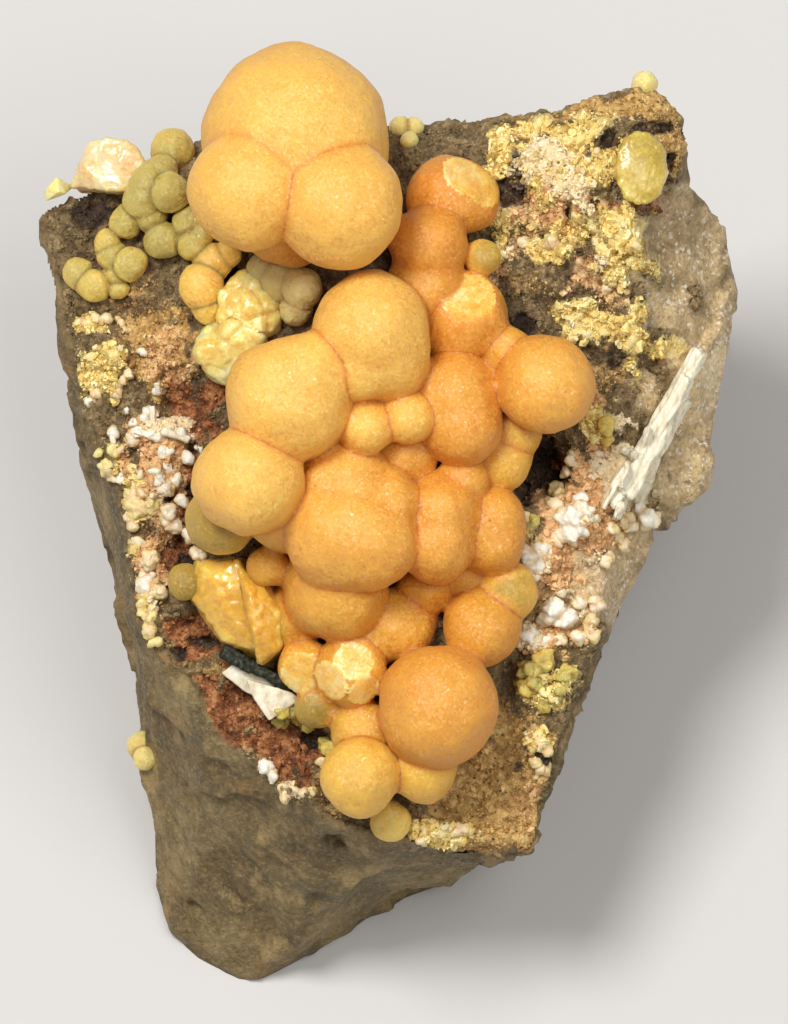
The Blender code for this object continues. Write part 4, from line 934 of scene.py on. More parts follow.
def zone_colour(look, shade, grit):
    """Colour of the mineral face: each zone's own ramp over the shade, its rim broken by grit."""
    colour = look.ramp(shade, [
        (0.12, (0.03, 0.018, 0.008)), (0.34, (0.12, 0.076, 0.03)), (0.6, (0.24, 0.16, 0.066)),
        (0.88, (0.48, 0.35, 0.18))])
    ramps = {
        "sand": [(0.1, (0.12, 0.055, 0.014)), (0.38, (0.38, 0.21, 0.06)),
                 (0.62, (0.64, 0.4, 0.13)), (0.88, (0.88, 0.66, 0.28))],
        "rust": [(0.1, (0.03, 0.007, 0.003)), (0.38, (0.17, 0.05, 0.014)),
                 (0.62, (0.42, 0.16, 0.05)), (0.9, (0.72, 0.4, 0.18))],
        "cream": [(0.1, (0.2, 0.065, 0.02)), (0.34, (0.52, 0.25, 0.09)),
                  (0.6, (0.8, 0.5, 0.23)), (0.9, (0.93, 0.74, 0.44))],
        "yellow": [(0.14, (0.13, 0.07, 0.02)), (0.36, (0.54, 0.35, 0.09)),
                   (0.5, (0.86, 0.64, 0.19)), (0.64, (0.93, 0.78, 0.33)),
                   (0.84, (0.95, 0.87, 0.58))],
        "white": [(0.1, (0.45, 0.28, 0.13)), (0.42, (0.85, 0.68, 0.4)), (0.9, (0.95, 0.86, 0.64))],
        # The dark zone: black stains, with painted shade in holes and pits and under the balls.
        "dark": [(0.2, (0.012, 0.006, 0.003)), (0.6, (0.06, 0.03, 0.013)),
                 (0.9, (0.2, 0.135, 0.065))],
    }
    for name, stops in ramps.items():
        edge = (look.layer(name) + grit * 0.9 - 0.45).over(0.28, 0.6)
        colour = look.mix(edge, colour, look.ramp(shade, stops))
    return colour


def rock_look(colours):
    """Plain stained rock, the mineral face over it with painted shade in its hollows, and the
    clean glassy break with painted glints.
    """
    look = Look("grey quartz rock")
    place = look.millimetres()
    quartz, face, relief = look.layer("quartz"), look.layer("face"), look.layer("relief")
    broad = look.noise(place, 4.5, 4.0)
    middle = look.noise(place, 1.4, 5.0, 0.65)
    fine = look.noise(place, 0.3, 4.0, 0.7)
    spread = look.shades(place, 0.16)
    pepper = look.cells(place, 0.5)
    plain = look.ramp(broad * 0.4 + middle * 0.35 + fine * 0.25, [
        (0.4, colours.rock_dark), (0.5, colours.rock), (0.6, colours.rock_light)])
    streak = look.noise(look.millimetres((1.0, 0.35, 0.6)), 1.6, 4.0, 0.6)
    plain = look.mix(streak.over(0.53, 0.64) * 0.6, plain, (0.42, 0.29, 0.12))
    stain = look.noise(place, 3.2, 5.0, 0.6, 0.6)
    plain = look.mix(stain.over(0.56, 0.68) * 0.5, plain, (0.3, 0.15, 0.045))
    plain = look.mix(stain.over(0.46, 0.34) * 0.6, plain, (0.12, 0.1, 0.052))
    flecks = (spread * 0.5 + fine * 0.5).over(0.58, 0.75)
    plain = look.mix(flecks * 0.22, plain, (0.42, 0.33, 0.17))
    plain = look.mix((1 - pepper.over(0.05, 0.14)) * 0.7, plain, colours.rock_dark)
    # Painted shade and light: the minerals are darker in the face's hollows and lighter on its
    # knobs.
    minerals = zone_colour(look, relief * 0.42 + fine * 0.38 + spread * 0.2, fine)
    specks = (1 - pepper.over(0.1, 0.24)) * middle.over(0.42, 0.5) * (1 - quartz)
    minerals = look.mix(specks * 0.85, minerals, colours.dark)
    colour = look.mix(face, plain, minerals)
    glass = look.ramp(broad * 0.35 + middle * 0.35 + fine * 0.3, [
        (0.37, (0.24, 0.16, 0.07)), (0.46, (0.5, 0.35, 0.17)), (0.55, (0.74, 0.54, 0.28)),
        (0.65, (0.93, 0.78, 0.47))])
    # Painted highlight: light specks painted on the glassy break as its glints, where its
    # roughness also drops.
    glass = look.mix(spread.over(0.86, 0.95) * 0.6, glass, (0.95, 0.9, 0.75))
    glass = look.mix(spread.over(0.2, 0.08) * 0.5, glass, (0.3, 0.22, 0.12))
    colour = look.mix(quartz * (1 - look.layer("yellow") * face), colour, glass)
    grit = look.noise(place, 0.14, 3.0, 0.7)
    height = fine * 0.2 + look.druse(place, 0.3) * 0.5 + middle * 0.2 + grit * 0.1
    normal = look.bump(height, 1.0, 0.8)
    roughness = 0.72 - quartz * 0.36 - spread.over(0.85, 0.95) * 0.35
    return look.finish(Base_Color=colour, Roughness=roughness, Normal=normal, IOR=1.54)


def grain_look():
    """Small crystals that take the colour of the zone they grew on, each in its own shade, and a
    little darker in the face's hollows as painted shade.
    """
    look = Look("mineral grains")
    place = look.millimetres()
    shade = look.layer("shade")
    mottle = look.noise(place, 0.7, 4.0, 0.7)
    # Painted shade: each grain is a little darker where it sits in a hollow of the face.
    tone = shade * 0.36 + mottle * 0.5 + look.layer("relief") * 0.16
    colour = zone_colour(look, tone, shade * 0.4 + mottle * 0.6)
    pepper = 1 - look.cells(place, 0.5).over(0.12, 0.24)
    colour = look.mix(pepper * mottle.over(0.42, 0.54) * 0.8, colour, (0.05, 0.035, 0.015))
    return look.finish(Base_Color=colour, Roughness=0.8 - shade * 0.3, IOR=1.5)


# Width of the sparkling crystal faces on the balls, and how deep light spreads in their wax.
DRUSE_FACE = 0.13
WAX_DEPTH = 1.35


def mimetite_look(name, stops, crease_shade_colours, break_colours, drusy=1.0, waxy=0.68, depth_shade=0.0):
    """Mimetite, tinted by ball, with painted shade that darkens and reddens its creases and tiny
    pits, a painted highlight that makes each ball paler on top, and painted sparkle over a fine
    druse.

    The stops colour the skin by tint. Drusy is how strongly the druse's faces stand out, waxy how
    far light goes into it, and the last number how much painted shade darkens its lowest parts.
    """
    look = Look(name)
    place = look.millimetres()
    tint, crease = look.layer("tint"), look.layer("crease")
    height, broken = look.layer("height"), look.layer("broken")
    cloud = look.noise(place, 2.4, 3.0)
    mottle = look.noise(place, 0.5, 4.0, 0.6)
    sugar = look.noise(place, 0.12, 3.0, 0.65)
    spark = look.shades(place, DRUSE_FACE)
    # Painted highlight: each ball is painted paler towards its top and more orange down its sides.
    warm = tint + (cloud - 0.5) * 0.5 + (mottle - 0.5) * 0.25 - height * 0.4 + 0.22
    colour = look.ramp(warm * 0.5 + 0.5, stops)
    # Painted shade: the creases between the balls are darkened and reddened.
    colour = look.mix(crease.over(0.08, 0.9) * 0.6, colour, crease_shade_colours[0])
    colour = look.mix(crease.over(0.66, 1.0) * 0.5, colour, crease_shade_colours[1])
    # Painted shade: the lower-lying parts of the cluster, by the near layer, are darkened.
    if depth_shade:
        low = 1 - look.layer("near")
        colour = look.mix(low * depth_shade, colour, (0.82, 0.76, 0.4), "MULTIPLY")
    # Painted highlight: light specks painted over the balls as the sparkle of their druse, fewer
    # in the creases.
    painted_sparkle = spark.over(0.88, 0.99) * 0.09 + sugar.over(0.52, 0.76) * 0.12
    colour = look.mix(painted_sparkle * (1 - crease * 0.7), colour, (1.0, 0.84, 0.5))
    glassy = look.ramp(cloud * 0.55 + mottle * 0.35 + spark * 0.1, [
        (0.38, break_colours[0]), (0.5, break_colours[1]), (0.62, break_colours[2])])
    colour = look.mix(broken.over(0.3, 0.7) * 0.9, colour, glassy)
    # Painted shade: tiny dark dots painted as the shade in small pits, in the darker crease
    # colour.
    pit_shade = 1 - look.cells(place, 1.7).over(0.035, 0.06)
    colour = look.mix(pit_shade * 0.5, colour, crease_shade_colours[1])
    faces = look.druse(place, DRUSE_FACE) * (1 - broken * 0.7) * (0.85 * drusy)
    normal = look.bump(faces + mottle * 0.05 + sugar * 0.012, 1.0, 0.7)
    roughness = 0.5 - broken * 0.18 - spark.over(0.9, 0.98) * 0.16
    return look.finish(
        Base_Color=colour, Roughness=roughness, Normal=normal, IOR=1.6, Subsurface_Weight=waxy,
        Subsurface_Radius=(1.0, 0.5, 0.16), Subsurface_Scale=WAX_DEPTH * MM,
        Sheen_Weight=0.08, Sheen_Roughness=0.4, Sheen_Tint=(1.0, 0.86, 0.62, 1.0),
        Specular_IOR_Level=0.45, Coat_Weight=broken * 0.5, Coat_Roughness=0.2)


def white_look():
    """White crystals, streaked along their length and stained here and there."""
    look = Look("white crystals")
    place = look.millimetres()
    streak = look.noise(look.millimetres((1.0, 0.3, 1.0)), 0.3, 4.0)
    stain = look.noise(place, 1.1, 3.0)
    colour = look.ramp(streak, [
        (0.3, (0.6, 0.5, 0.34)), (0.48, (0.84, 0.77, 0.58)), (0.7, (0.93, 0.89, 0.74))])
    colour = look.mix(stain.over(0.56, 0.76) * 0.55, colour, (0.6, 0.4, 0.18))
    normal = look.bump(streak, 0.05, 0.6)
    return look.finish(
        Base_Color=colour, Roughness=0.5, Normal=normal, Subsurface_Weight=0.3,
        Subsurface_Radius=(1.0, 0.9, 0.8), Subsurface_Scale=0.5 * MM)


def dark_look():
    """Nearly black crust with a green cast."""
    look = Look("black green crust")
    place = look.millimetres()
    fine = look.noise(place, 0.25, 4.0)
    colour = look.ramp(fine, [
        (0.35, (0.008, 0.009, 0.007)), (0.55, (0.03, 0.034, 0.022)), (0.75, (0.12, 0.13, 0.06))])
    normal = look.bump(fine, 0.12, 0.9)
    return look.finish(
        Base_Color=colour, Roughness=0.55, Normal=normal, Specular_IOR_Level=0.25)


def floor_look(colour):
    """Pale floor, very slightly clouded."""
    look = Look("pale floor")
    place = look.millimetres()
    cloud = look.noise(place, 60.0, 2.0)
    shade = look.mix(cloud * 0.12, colour, tuple(0.93 * c for c in colour[:3]))
    return look.finish(Base_Color=shade, Roughness=0.85)


def in_rim(points, rim):
    """How far points are inside a closed rim, in millimetres, and below zero outside."""
    corners = np.array(rim)
    ends = np.roll(corners, -1, axis=0)
    inside = np.zeros(len(points), bool)
    nearest = np.full(len(points), 1e9)
    for (x0, y0), (x1, y1) in zip(corners, ends):
        span = np.array((x1 - x0, y1 - y0))
        share = np.clip(((points - (x0, y0)) @ span) / (span @ span), 0.0, 1.0)
        near = np.array((x0, y0)) + share[:, None] * span
        nearest = np.minimum(nearest, np.linalg.norm(points - near, axis=1))
        rises = (y0 > points[:, 1]) != (y1 > points[:, 1])
        run = (points[:, 1] - y0) / np.where(y1 == y0, 1e-9, y1 - y0)
        inside ^= rises & (points[:, 0] < x0 + run * (x1 - x0))
    return np.where(inside, nearest, -nearest)


def patches(points, waves, entries):
    """How strongly the listed patches with wavy rims cover each point, from 0 to 1."""
    cover = np.zeros(len(points))
    for across, along, half_width, half_length, strength in entries:
        far = np.hypot((points[:, 0] - across) / half_width, (points[:, 1] - along) / half_length)
        cover = np.maximum(cover, strength * smooth_step(1.4 - far + 0.8 * waves, 0.0, 0.9))
    return cover


def face_share(points, ways):
    """How much each point belongs to the crusted mineral face."""
    waves = fractal(points, 1.2, 3, (9.0, 2.0, 5.0))
    share = smooth_step(in_rim(points[:, :2], FACE_RIM) + 0.6 * waves, *FACE_EDGE)
    share *= smooth_step(points[:, 2], *FACE_FLOOR)
    return share * smooth_step(ways[:, 2], *FACE_TURN)


def zone_covers(points):
    """How strongly each zone of the mineral face covers each point."""
    level = points * (1.0, 1.0, 0.0)
    covers = {}
    for number, (name, (entries, _)) in enumerate(ZONES.items()):
        waves = fractal(level, 1.2, 4, (7.0 * number + 3.0, 0.5, 0.0))
        covers[name] = patches(points[:, :2], waves, entries)
    return covers


def rock_layers(mesh, knobs):
    """What the rock's material reads: its crusts and stains, and the height of its knobs for the
    painted shade in its hollows, kept on the mesh's corners.
    """
    # How high each point stands among the knobs: the material paints shade into the low ones.
    attribute(mesh, "relief", smooth_step(knobs, -0.36, 0.28))
    points = to_plane(places_of(mesh))
    face = face_share(points, normals_of(mesh) @ AXES.T)
    for name, cover in zone_covers(points).items():
        if name == "quartz":
            cover = cover * smooth_step(points[:, 2], *GLASS_ENDS)
        else:
            cover = cover * face
        attribute(mesh, name, cover)
    attribute(mesh, "face", face)


def crumbs(points):
    """Knobs and hollows of the mineral face, in millimetres."""
    middle = fractal(points, 1.1, 4, (5.0, 1.0, 2.0))
    fine = fractal(points, 0.4, 3, (3.0, 8.0, 4.0))
    steps = facets(points, 0.8, 0.35)[1]
    small = cells(points, 0.38, (4.0, 4.0, 4.0))[:, 0]
    return 0.26 * middle + 0.12 * fine + 0.14 * steps - 0.22 * small


def chips(points, ways, seed, count, reach, lean, cut):
    """How deep flats that each lean their own way cut into the stone, in millimetres."""
    draw = np.random.default_rng(seed)
    depths = np.zeros(len(points))
    for pick in draw.choice(len(points), count, replace=False):
        normal = ways[pick] + lean * draw.normal(size=3)
        normal /= np.linalg.norm(normal)
        wide = reach * draw.uniform(0.5, 1.5)
        depth = cut * draw.uniform(0.3, 1.0)
        near = np.flatnonzero(np.abs(points - points[pick]).max(axis=1) < 1.3 * wide)
        towards = points[near] - points[pick]
        far = np.linalg.norm(towards, axis=1) / wide
        facing = ways[near] @ normal
        beyond = (towards @ normal + depth - 0.8 * far**12) / np.maximum(facing, 0.6)
        beyond *= smooth_step(facing, 0.6, 0.75)
        depths[near] = np.maximum(depths[near], beyond)
    return np.minimum(depths, DEEPEST_CHIP)


def chipped(points, ways, kinds):
    """The deepest of several kinds of chips at each point."""
    return np.maximum.reduce([chips(points, ways, *kind) for kind in kinds])


def sheet_cover(points):
    """How surely the fine sheet of the mineral face lies over each point, from 0 to 1."""
    cover = smooth_step(in_rim(points[:, :2], FACE_RIM), -0.3, 0.3)
    return cover * (1.0 - smooth_step(zone_covers(points)["quartz"], 0.3, 0.6))


def face_moves(points):
    """How far the mineral face stands out for its crumbs and crusts, and the crumbs alone."""
    covers = zone_covers(points)
    waves = fractal(points, 1.1, 4, (5.0, 1.0, 2.0))
    knobs = crumbs(points)
    moves = knobs + 0.18 * fractal(points, 3.0, 4)
    for name, (_, rise) in ZONES.items():
        moves += rise * smooth_step(covers[name] + 0.3 * waves, 0.38, 0.52)
    return moves, knobs


def rock_shape(points, ways):
    """The rock's points with its chipped flats and crumbs, and the crumbs alone."""
    face = face_share(points, ways)
    quartz = zone_covers(points)["quartz"] * smooth_step(points[:, 2], *GLASS_ENDS)
    cuts = chipped(points, ways, STONE_CHIPS)
    glass = np.flatnonzero(quartz > 0.02)
    sharp = chipped(points[glass], ways[glass], GLASS_CHIPS)
    cuts[glass] += quartz[glass] * (sharp - cuts[glass])
    fine = (0.09 - 0.06 * quartz) * fractal(points, 0.6, 4)
    rolling = 0.07 * fractal(points, 2.6, 4) + fine
    stone = points + ways * (0.18 - cuts + rolling)[:, None]
    raised, knobs = face_moves(points)
    sheet = smooth_step(sheet_cover(points), 0.55, 1.0)
    sheet *= smooth_step(ways[:, 2], 0.35, 0.6) * smooth_step(points[:, 2], -8.0, -7.0)
    crust = points + ways * raised[:, None]
    share = (face * (1.0 - quartz))[:, None]
    moved = share * crust + (1.0 - share) * stone - ways * (0.35 * sheet)[:, None]
    base = smooth_step(to_world(points)[:, 2] / MM, 0.02, 0.5)[:, None]
    return points + (moved - points) * base, knobs


def face_sheet(surface, cell):
    """A fine sheet over the rock inside the mineral face's rim: its corners and faces."""
    rim = np.array(FACE_RIM)
    low, high = rim.min(axis=0) - 1.0, rim.max(axis=0) + 1.0
    columns, rows = np.arange(low[0], high[0], cell), np.arange(low[1], high[1], cell)
    grid = np.stack(np.meshgrid(columns, rows), axis=-1).reshape(-1, 2)
    inside = in_rim(grid, FACE_RIM)
    outs = np.full(len(grid), NOWHERE)
    for row in np.flatnonzero(inside > -0.3):
        outs[row] = surface.out_at(*grid[row], NOWHERE)
    wide = len(columns)
    first = np.arange(len(grid)).reshape(-1, wide)[:-1, :-1].ravel()
    quads = np.stack([first, first + 1, first + wide + 1, first + wide], axis=1)
    steps = np.ptp(outs[quads], axis=1)
    quads = quads[(outs[quads] > SHEET_FLOOR).all(axis=1) & (steps < 3.0 * cell)]
    cover = sheet_cover(np.column_stack([grid, outs]))
    quads = quads[(cover[quads] > 0.02).any(axis=1)]
    used, faces = np.unique(quads, return_inverse=True)
    points = np.column_stack([grid, outs])[used]
    points[:, 2] -= 0.6 * (1.0 - cover[used])
    return points, faces.reshape(-1, 4)


class Scatter(Nodes):
    """Geometry Nodes that strew small crystals over a mesh and leave only the crystals."""

    INPUTS = (
        ("Geometry", "NodeSocketGeometry"), ("Mask", "NodeSocketString"),
        ("Density", "NodeSocketFloat"), ("Smallest", "NodeSocketFloat"),
        ("Largest", "NodeSocketFloat"), ("Lean", "NodeSocketFloat"),
        ("Seed", "NodeSocketInt"), ("Material", "NodeSocketMaterial"),
    )

    def __init__(self, name, crystal, settings):
        super().__init__(bpy.data.node_groups.new(name, "GeometryNodeTree"))
        for label, kind in self.INPUTS:
            self.tree.interface.new_socket(label, in_out="INPUT", socket_type=kind)
        self.tree.interface.new_socket(
            "Geometry", in_out="OUTPUT", socket_type="NodeSocketGeometry")
        self.given = self.tree.nodes.new("NodeGroupInput").outputs
        mask = self.put("GeometryNodeInputNamedAttribute", {"data_type": "FLOAT"},
                        {"Name": self.given["Mask"]})
        density = self.put("ShaderNodeMath", {"operation": "MULTIPLY"},
                           {0: mask[0], 1: self.given["Density"]})[0]
        points = self.put("GeometryNodeDistributePointsOnFaces", None, {
            "Mesh": self.given["Geometry"], "Density": density, "Seed": self.given["Seed"]})
        shade = self.random("FLOAT", 0.0, 1.0)
        shaded = self.put("GeometryNodeStoreNamedAttribute", {"data_type": "FLOAT"}, {
            "Geometry": points["Points"], "Name": "shade", "Value": shade})[0]
        size = self.put("ShaderNodeMath", {"operation": "POWER"},
                        {0: self.random("FLOAT", 0.0, 1.0, 4), 1: 2.5})[0]
        size = self.put("ShaderNodeMapRange", None, {
            "Value": size, "To Min": self.given["Smallest"], "To Max": self.given["Largest"]})[0]
        size = self.put("ShaderNodeVectorMath", {"operation": "SCALE"}, {
            0: self.random("FLOAT_VECTOR", (0.6, 0.6, 0.6), (1.5, 1.5, 1.5), 8),
            "Scale": size})[0]
        turn = self.random("FLOAT_VECTOR", (-1.0, -1.0, -1.0), (1.0, 1.0, 1.0))
        turn = self.put("ShaderNodeVectorMath", {"operation": "SCALE"},
                        {0: turn, "Scale": self.given["Lean"]})[0]
        turn = self.put("FunctionNodeEulerToRotation", None, {0: turn})[0]
        turned = self.put("FunctionNodeRotateRotation", {"rotation_space": "LOCAL"}, {
            "Rotation": points["Rotation"], "Rotate By": turn})[0]
        shape = self.put(crystal, None, settings)["Mesh"]
        crystals = self.put("GeometryNodeInstanceOnPoints", None, {
            "Points": shaded, "Instance": shape, "Rotation": turned, "Scale": size})[0]
        mesh = self.put("GeometryNodeRealizeInstances", None, {"Geometry": crystals})[0]
        mesh = self.put("GeometryNodeSetMaterial", None, {
            "Geometry": mesh, "Material": self.given["Material"]})[0]
        self.put("NodeGroupOutput", None, {0: mesh})

    def random(self, kind, low, high, further=0):
        """Random values between two ends, from the sockets for this kind of value."""
        node = self.tree.nodes.new("FunctionNodeRandomValue")
        node.data_type = kind
        ends = [socket for socket in node.inputs if socket.name in ("Min", "Max")]
        first = 0 if kind == "FLOAT_VECTOR" else 2
        for socket, value in zip(ends[first:first + 2], (low, high)):
            socket.default_value = value
        seed = self.put("ShaderNodeMath", {"operation": "ADD"},
                        {0: self.given["Seed"], 1: float(further)})[0]
        self.tree.links.new(seed, node.inputs["Seed"])
        return node.outputs[0 if kind == "FLOAT_VECTOR" else 1]

    def strewn(self, name, mesh, **values):
        """The crystals that the nodes strew over this mesh, as an object of their own."""
        made = linked(name, mesh.copy())
        nodes = made.modifiers.new("Crystals", "NODES")
        nodes.node_group = self.tree
        for item in self.tree.interface.items_tree:
            if item.in_out == "INPUT" and item.name.lower() in values:
                nodes[item.identifier] = values[item.name.lower()]
        settled(made)
        moved_to(made.data, kept_in_box(places_of(made.data)))
        return made


def fineness(name, description, default):
    """A width of a mesh's grid, in millimetres."""
    return bpy.props.FloatProperty(
        name=name, description=description, default=default, min=0.1, max=1.0)


def tone(name, description, default):
    """A colour of the specimen."""
    return bpy.props.FloatVectorProperty(
        name=name, description=description, subtype="COLOR", size=3, default=default,
        min=0.0, max=1.0)


class SpecimenSizes(bpy.types.PropertyGroup):
    """Fineness of the specimen's meshes."""

    rock_cell: fineness("Rock fineness", "Grid of the rock's skin, in millimetres", 0.18)
    face_cell: fineness("Face fineness", "Grid of the mineral face, in millimetres", 0.118)
    ball_cell: fineness("Ball fineness", "Grid of the orange balls, in millimetres", 0.2)
    rock_triangles: bpy.props.IntProperty(
        name="Rock triangles", description="Most triangles that the rock keeps",
        default=110000, min=20000, max=199000)


class SpecimenColours(bpy.types.PropertyGroup):
    """Colours of the minerals."""

    rock: tone("Rock", "Plain broken rock", (0.2, 0.135, 0.05))
    rock_dark: tone("Dark rock", "Dark mottles of the rock", (0.1, 0.066, 0.024))
    rock_light: tone("Light rock", "Light mottles of the rock", (0.33, 0.24, 0.105))
    dark: tone("Dark stain", "Black green stains and deep pores", (0.02, 0.017, 0.011))
    pale_orange: tone("Pale orange", "Palest of the orange balls", (0.93, 0.585, 0.132))
    orange: tone("Orange", "Most of the orange balls", (0.87, 0.475, 0.085))
    deep_orange: tone("Deep orange", "Reddest of the orange balls", (0.8, 0.33, 0.04))
    olive: tone("Olive", "Translucent green yellow balls", (0.36, 0.27, 0.07))
    floor: tone("Floor", "Plain pale floor", (0.62, 0.61, 0.6))


def sizes():
    return bpy.context.scene.specimen_sizes


def colours():
    return bpy.context.scene.specimen_colours


def rides(obj, slot, *nodes):
    """Fixes a finished piece to the specimen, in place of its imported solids."""
    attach(obj, "root")
    if nodes:
        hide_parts(*nodes)


def dressed(obj, look, slot, *nodes):
    """Gives a piece its material and fixes it to the specimen."""
    obj.data.materials.append(look)
    rides(obj, slot, *nodes)


class SPECIMEN_OT_rock(bpy.types.Operator):
    """Makes the wedge of quartz rock with its crusts, stains, pores and flat break"""

    bl_idname = "specimen.rock"
    bl_label = "Quartz rock"

    def execute(self, context):
        shape = packed_rock()
        mesh = bpy.data.meshes.new("quartz_rock")
        shape.to_mesh(mesh)
        shape.free()
        rock = sealed(linked("quartz_rock", mesh), sizes().rock_cell)
        smooth = rock.modifiers.new("Soften", "SMOOTH")
        smooth.factor = 0.5
        smooth.iterations = 4
        settled(rock)
        world = places_of(rock.data)
        world[:, 2] = np.where(world[:, 2] < FLAT_BASE * MM, 0.0, world[:, 2])
        ways = normals_of(rock.data) @ AXES.T
        moved, knobs = rock_shape(to_plane(world), ways)
        moved_to(rock.data, kept_in_box(to_world(moved)))
        attribute(rock.data, "knobs", knobs)
        thinned(rock, sizes().rock_triangles)
        rock_layers(rock.data, kept(rock.data, "knobs"))
        rock.data.shade_smooth()
        rock.data.materials.clear()
        look = rock_look(colours())
        dressed(rock, look, "grey_quartz_rock", "quartz_matrix")
        points, faces = face_sheet(Surface(), sizes().face_cell)
        moves, knobs = face_moves(points)
        grit = 0.06 * fractal(points, 0.2, 2)
        points[:, 2] += moves + grit
        mesh = bpy.data.meshes.new("mineral_face")
        mesh.from_pydata(kept_in_box(to_world(points)).tolist(), [], faces.tolist())
        rock_layers(mesh, knobs)
        mesh.shade_smooth()
        dressed(linked("mineral_face", mesh), look, "grey_quartz_rock")
        return {"FINISHED"}


def ball_roughness(points, crease, broken):
    """Uneven, finely lumpy skin of a ball, plainer on a break."""
    lumps = 0.2 * fractal(points, 2.8, 2) + 0.05 * fractal(points, 0.9, 2, (2.0, 3.0, 1.0))
    steps = 0.16 * fractal(points, 1.1, 3, (6.0, 1.0, 1.0))
    return lumps * (1.0 - broken) + steps * broken


def even_roughness(height, size):
    """An even roughness of this height and with waves of this size."""
    return lambda points, crease, broken: height * fractal(points, size, 3)


def hackly_roughness(points, crease, broken):
    """Hackly break of a lump, with steps and hollows."""
    near, steps = facets(points, 1.5, 0.25)
    return 0.3 * (0.4 - near) + 0.12 * steps + 0.2 * fractal(points, 1.3, 3)


def break_roughness(points, crease, broken):
    """Shallow conchoidal break of a lump."""
    near, steps = facets(points, 1.2, 0.25)
    return 0.12 * (near - 0.4) + 0.08 * steps + 0.08 * fractal(points, 0.8, 3)


def strand_roughness(points, crease, broken):
    """Fine ribs that run along the blades."""
    right, up = STRAND_WAY
    turned = np.column_stack([
        (points[:, 0] * up - points[:, 1] * right) / 0.17,
        (points[:, 0] * right + points[:, 1] * up) / 2.4, points[:, 2] / 0.6])
    return 0.16 * fractal(turned, 1.0, 2)


def satin_roughness(points, crease, broken):
    """A gently domed break with fibres that fan across it."""
    across, along, _, half_width, half_length, *_ = SPLIT_BALL
    far = np.hypot((points[:, 0] - across) / half_width, (points[:, 1] - along) / half_length)
    turn = np.arctan2(points[:, 1] - along - 1.6, points[:, 0] - across - 1.0)
    fans = np.column_stack([turn * 9.0, far * 2.0, np.zeros(len(far))])
    chips = 0.14 * fractal(points, 0.7, 3) * smooth_step(far, 0.55, 0.95)
    return 0.4 * np.clip(1.0 - far**2, 0.0, 1.0) + 0.025 * fractal(fans, 1.0, 3) + chips


class SPECIMEN_OT_orange_balls(bpy.types.Operator):
    """Makes the orange balls of mimetite that are grown together down the face"""

    bl_idname = "specimen.orange_balls"
    bl_label = "Orange balls"

    def execute(self, context):
        tones = colours()
        solids = [ball(entry) for entry in CLUSTER]
        solids += [ball(entry, breaks) for entry, breaks in BROKEN]
        balls = grown("orange_balls", solids, sizes().ball_cell, 0.2, ball_roughness)
        stops = [(0.1, tones.olive), (0.42, (0.62, 0.42, 0.1)), (0.55, tones.pale_orange),
                 (0.75, tones.orange), (0.98, tones.deep_orange)]
        # How far out each point of the cluster lies, read by its material for a painted shade that
        # darkens the lower-lying balls.
        out = to_plane(places_of(balls.data))[:, 2]
        attribute(balls.data, "near", smooth_step(out, 0.0, 6.0))
        # In each look below, the pair of colours after the stops is the painted shade of creases
        # and pits.
        dressed(balls, mimetite_look(
            "orange mimetite", stops, ((0.78, 0.27, 0.025), (0.42, 0.1, 0.01)),
            ((0.88, 0.43, 0.05), (0.94, 0.6, 0.13), (0.96, 0.78, 0.34)), depth_shade=0.85),
            "orange_mimetite", "mimetite_cluster")
        shards = [block(corners) for corners in GLASSY_LUMP]
        lump = grown("glassy_lump", shards, 0.09, 0.04, break_roughness)
        dressed(lump, mimetite_look(
            "amber mimetite", stops, ((0.6, 0.28, 0.03), (0.35, 0.13, 0.01)),
            ((0.64, 0.34, 0.035), (0.8, 0.46, 0.055), (0.92, 0.64, 0.13)), 0.3),
            "orange_mimetite")
        return {"FINISHED"}


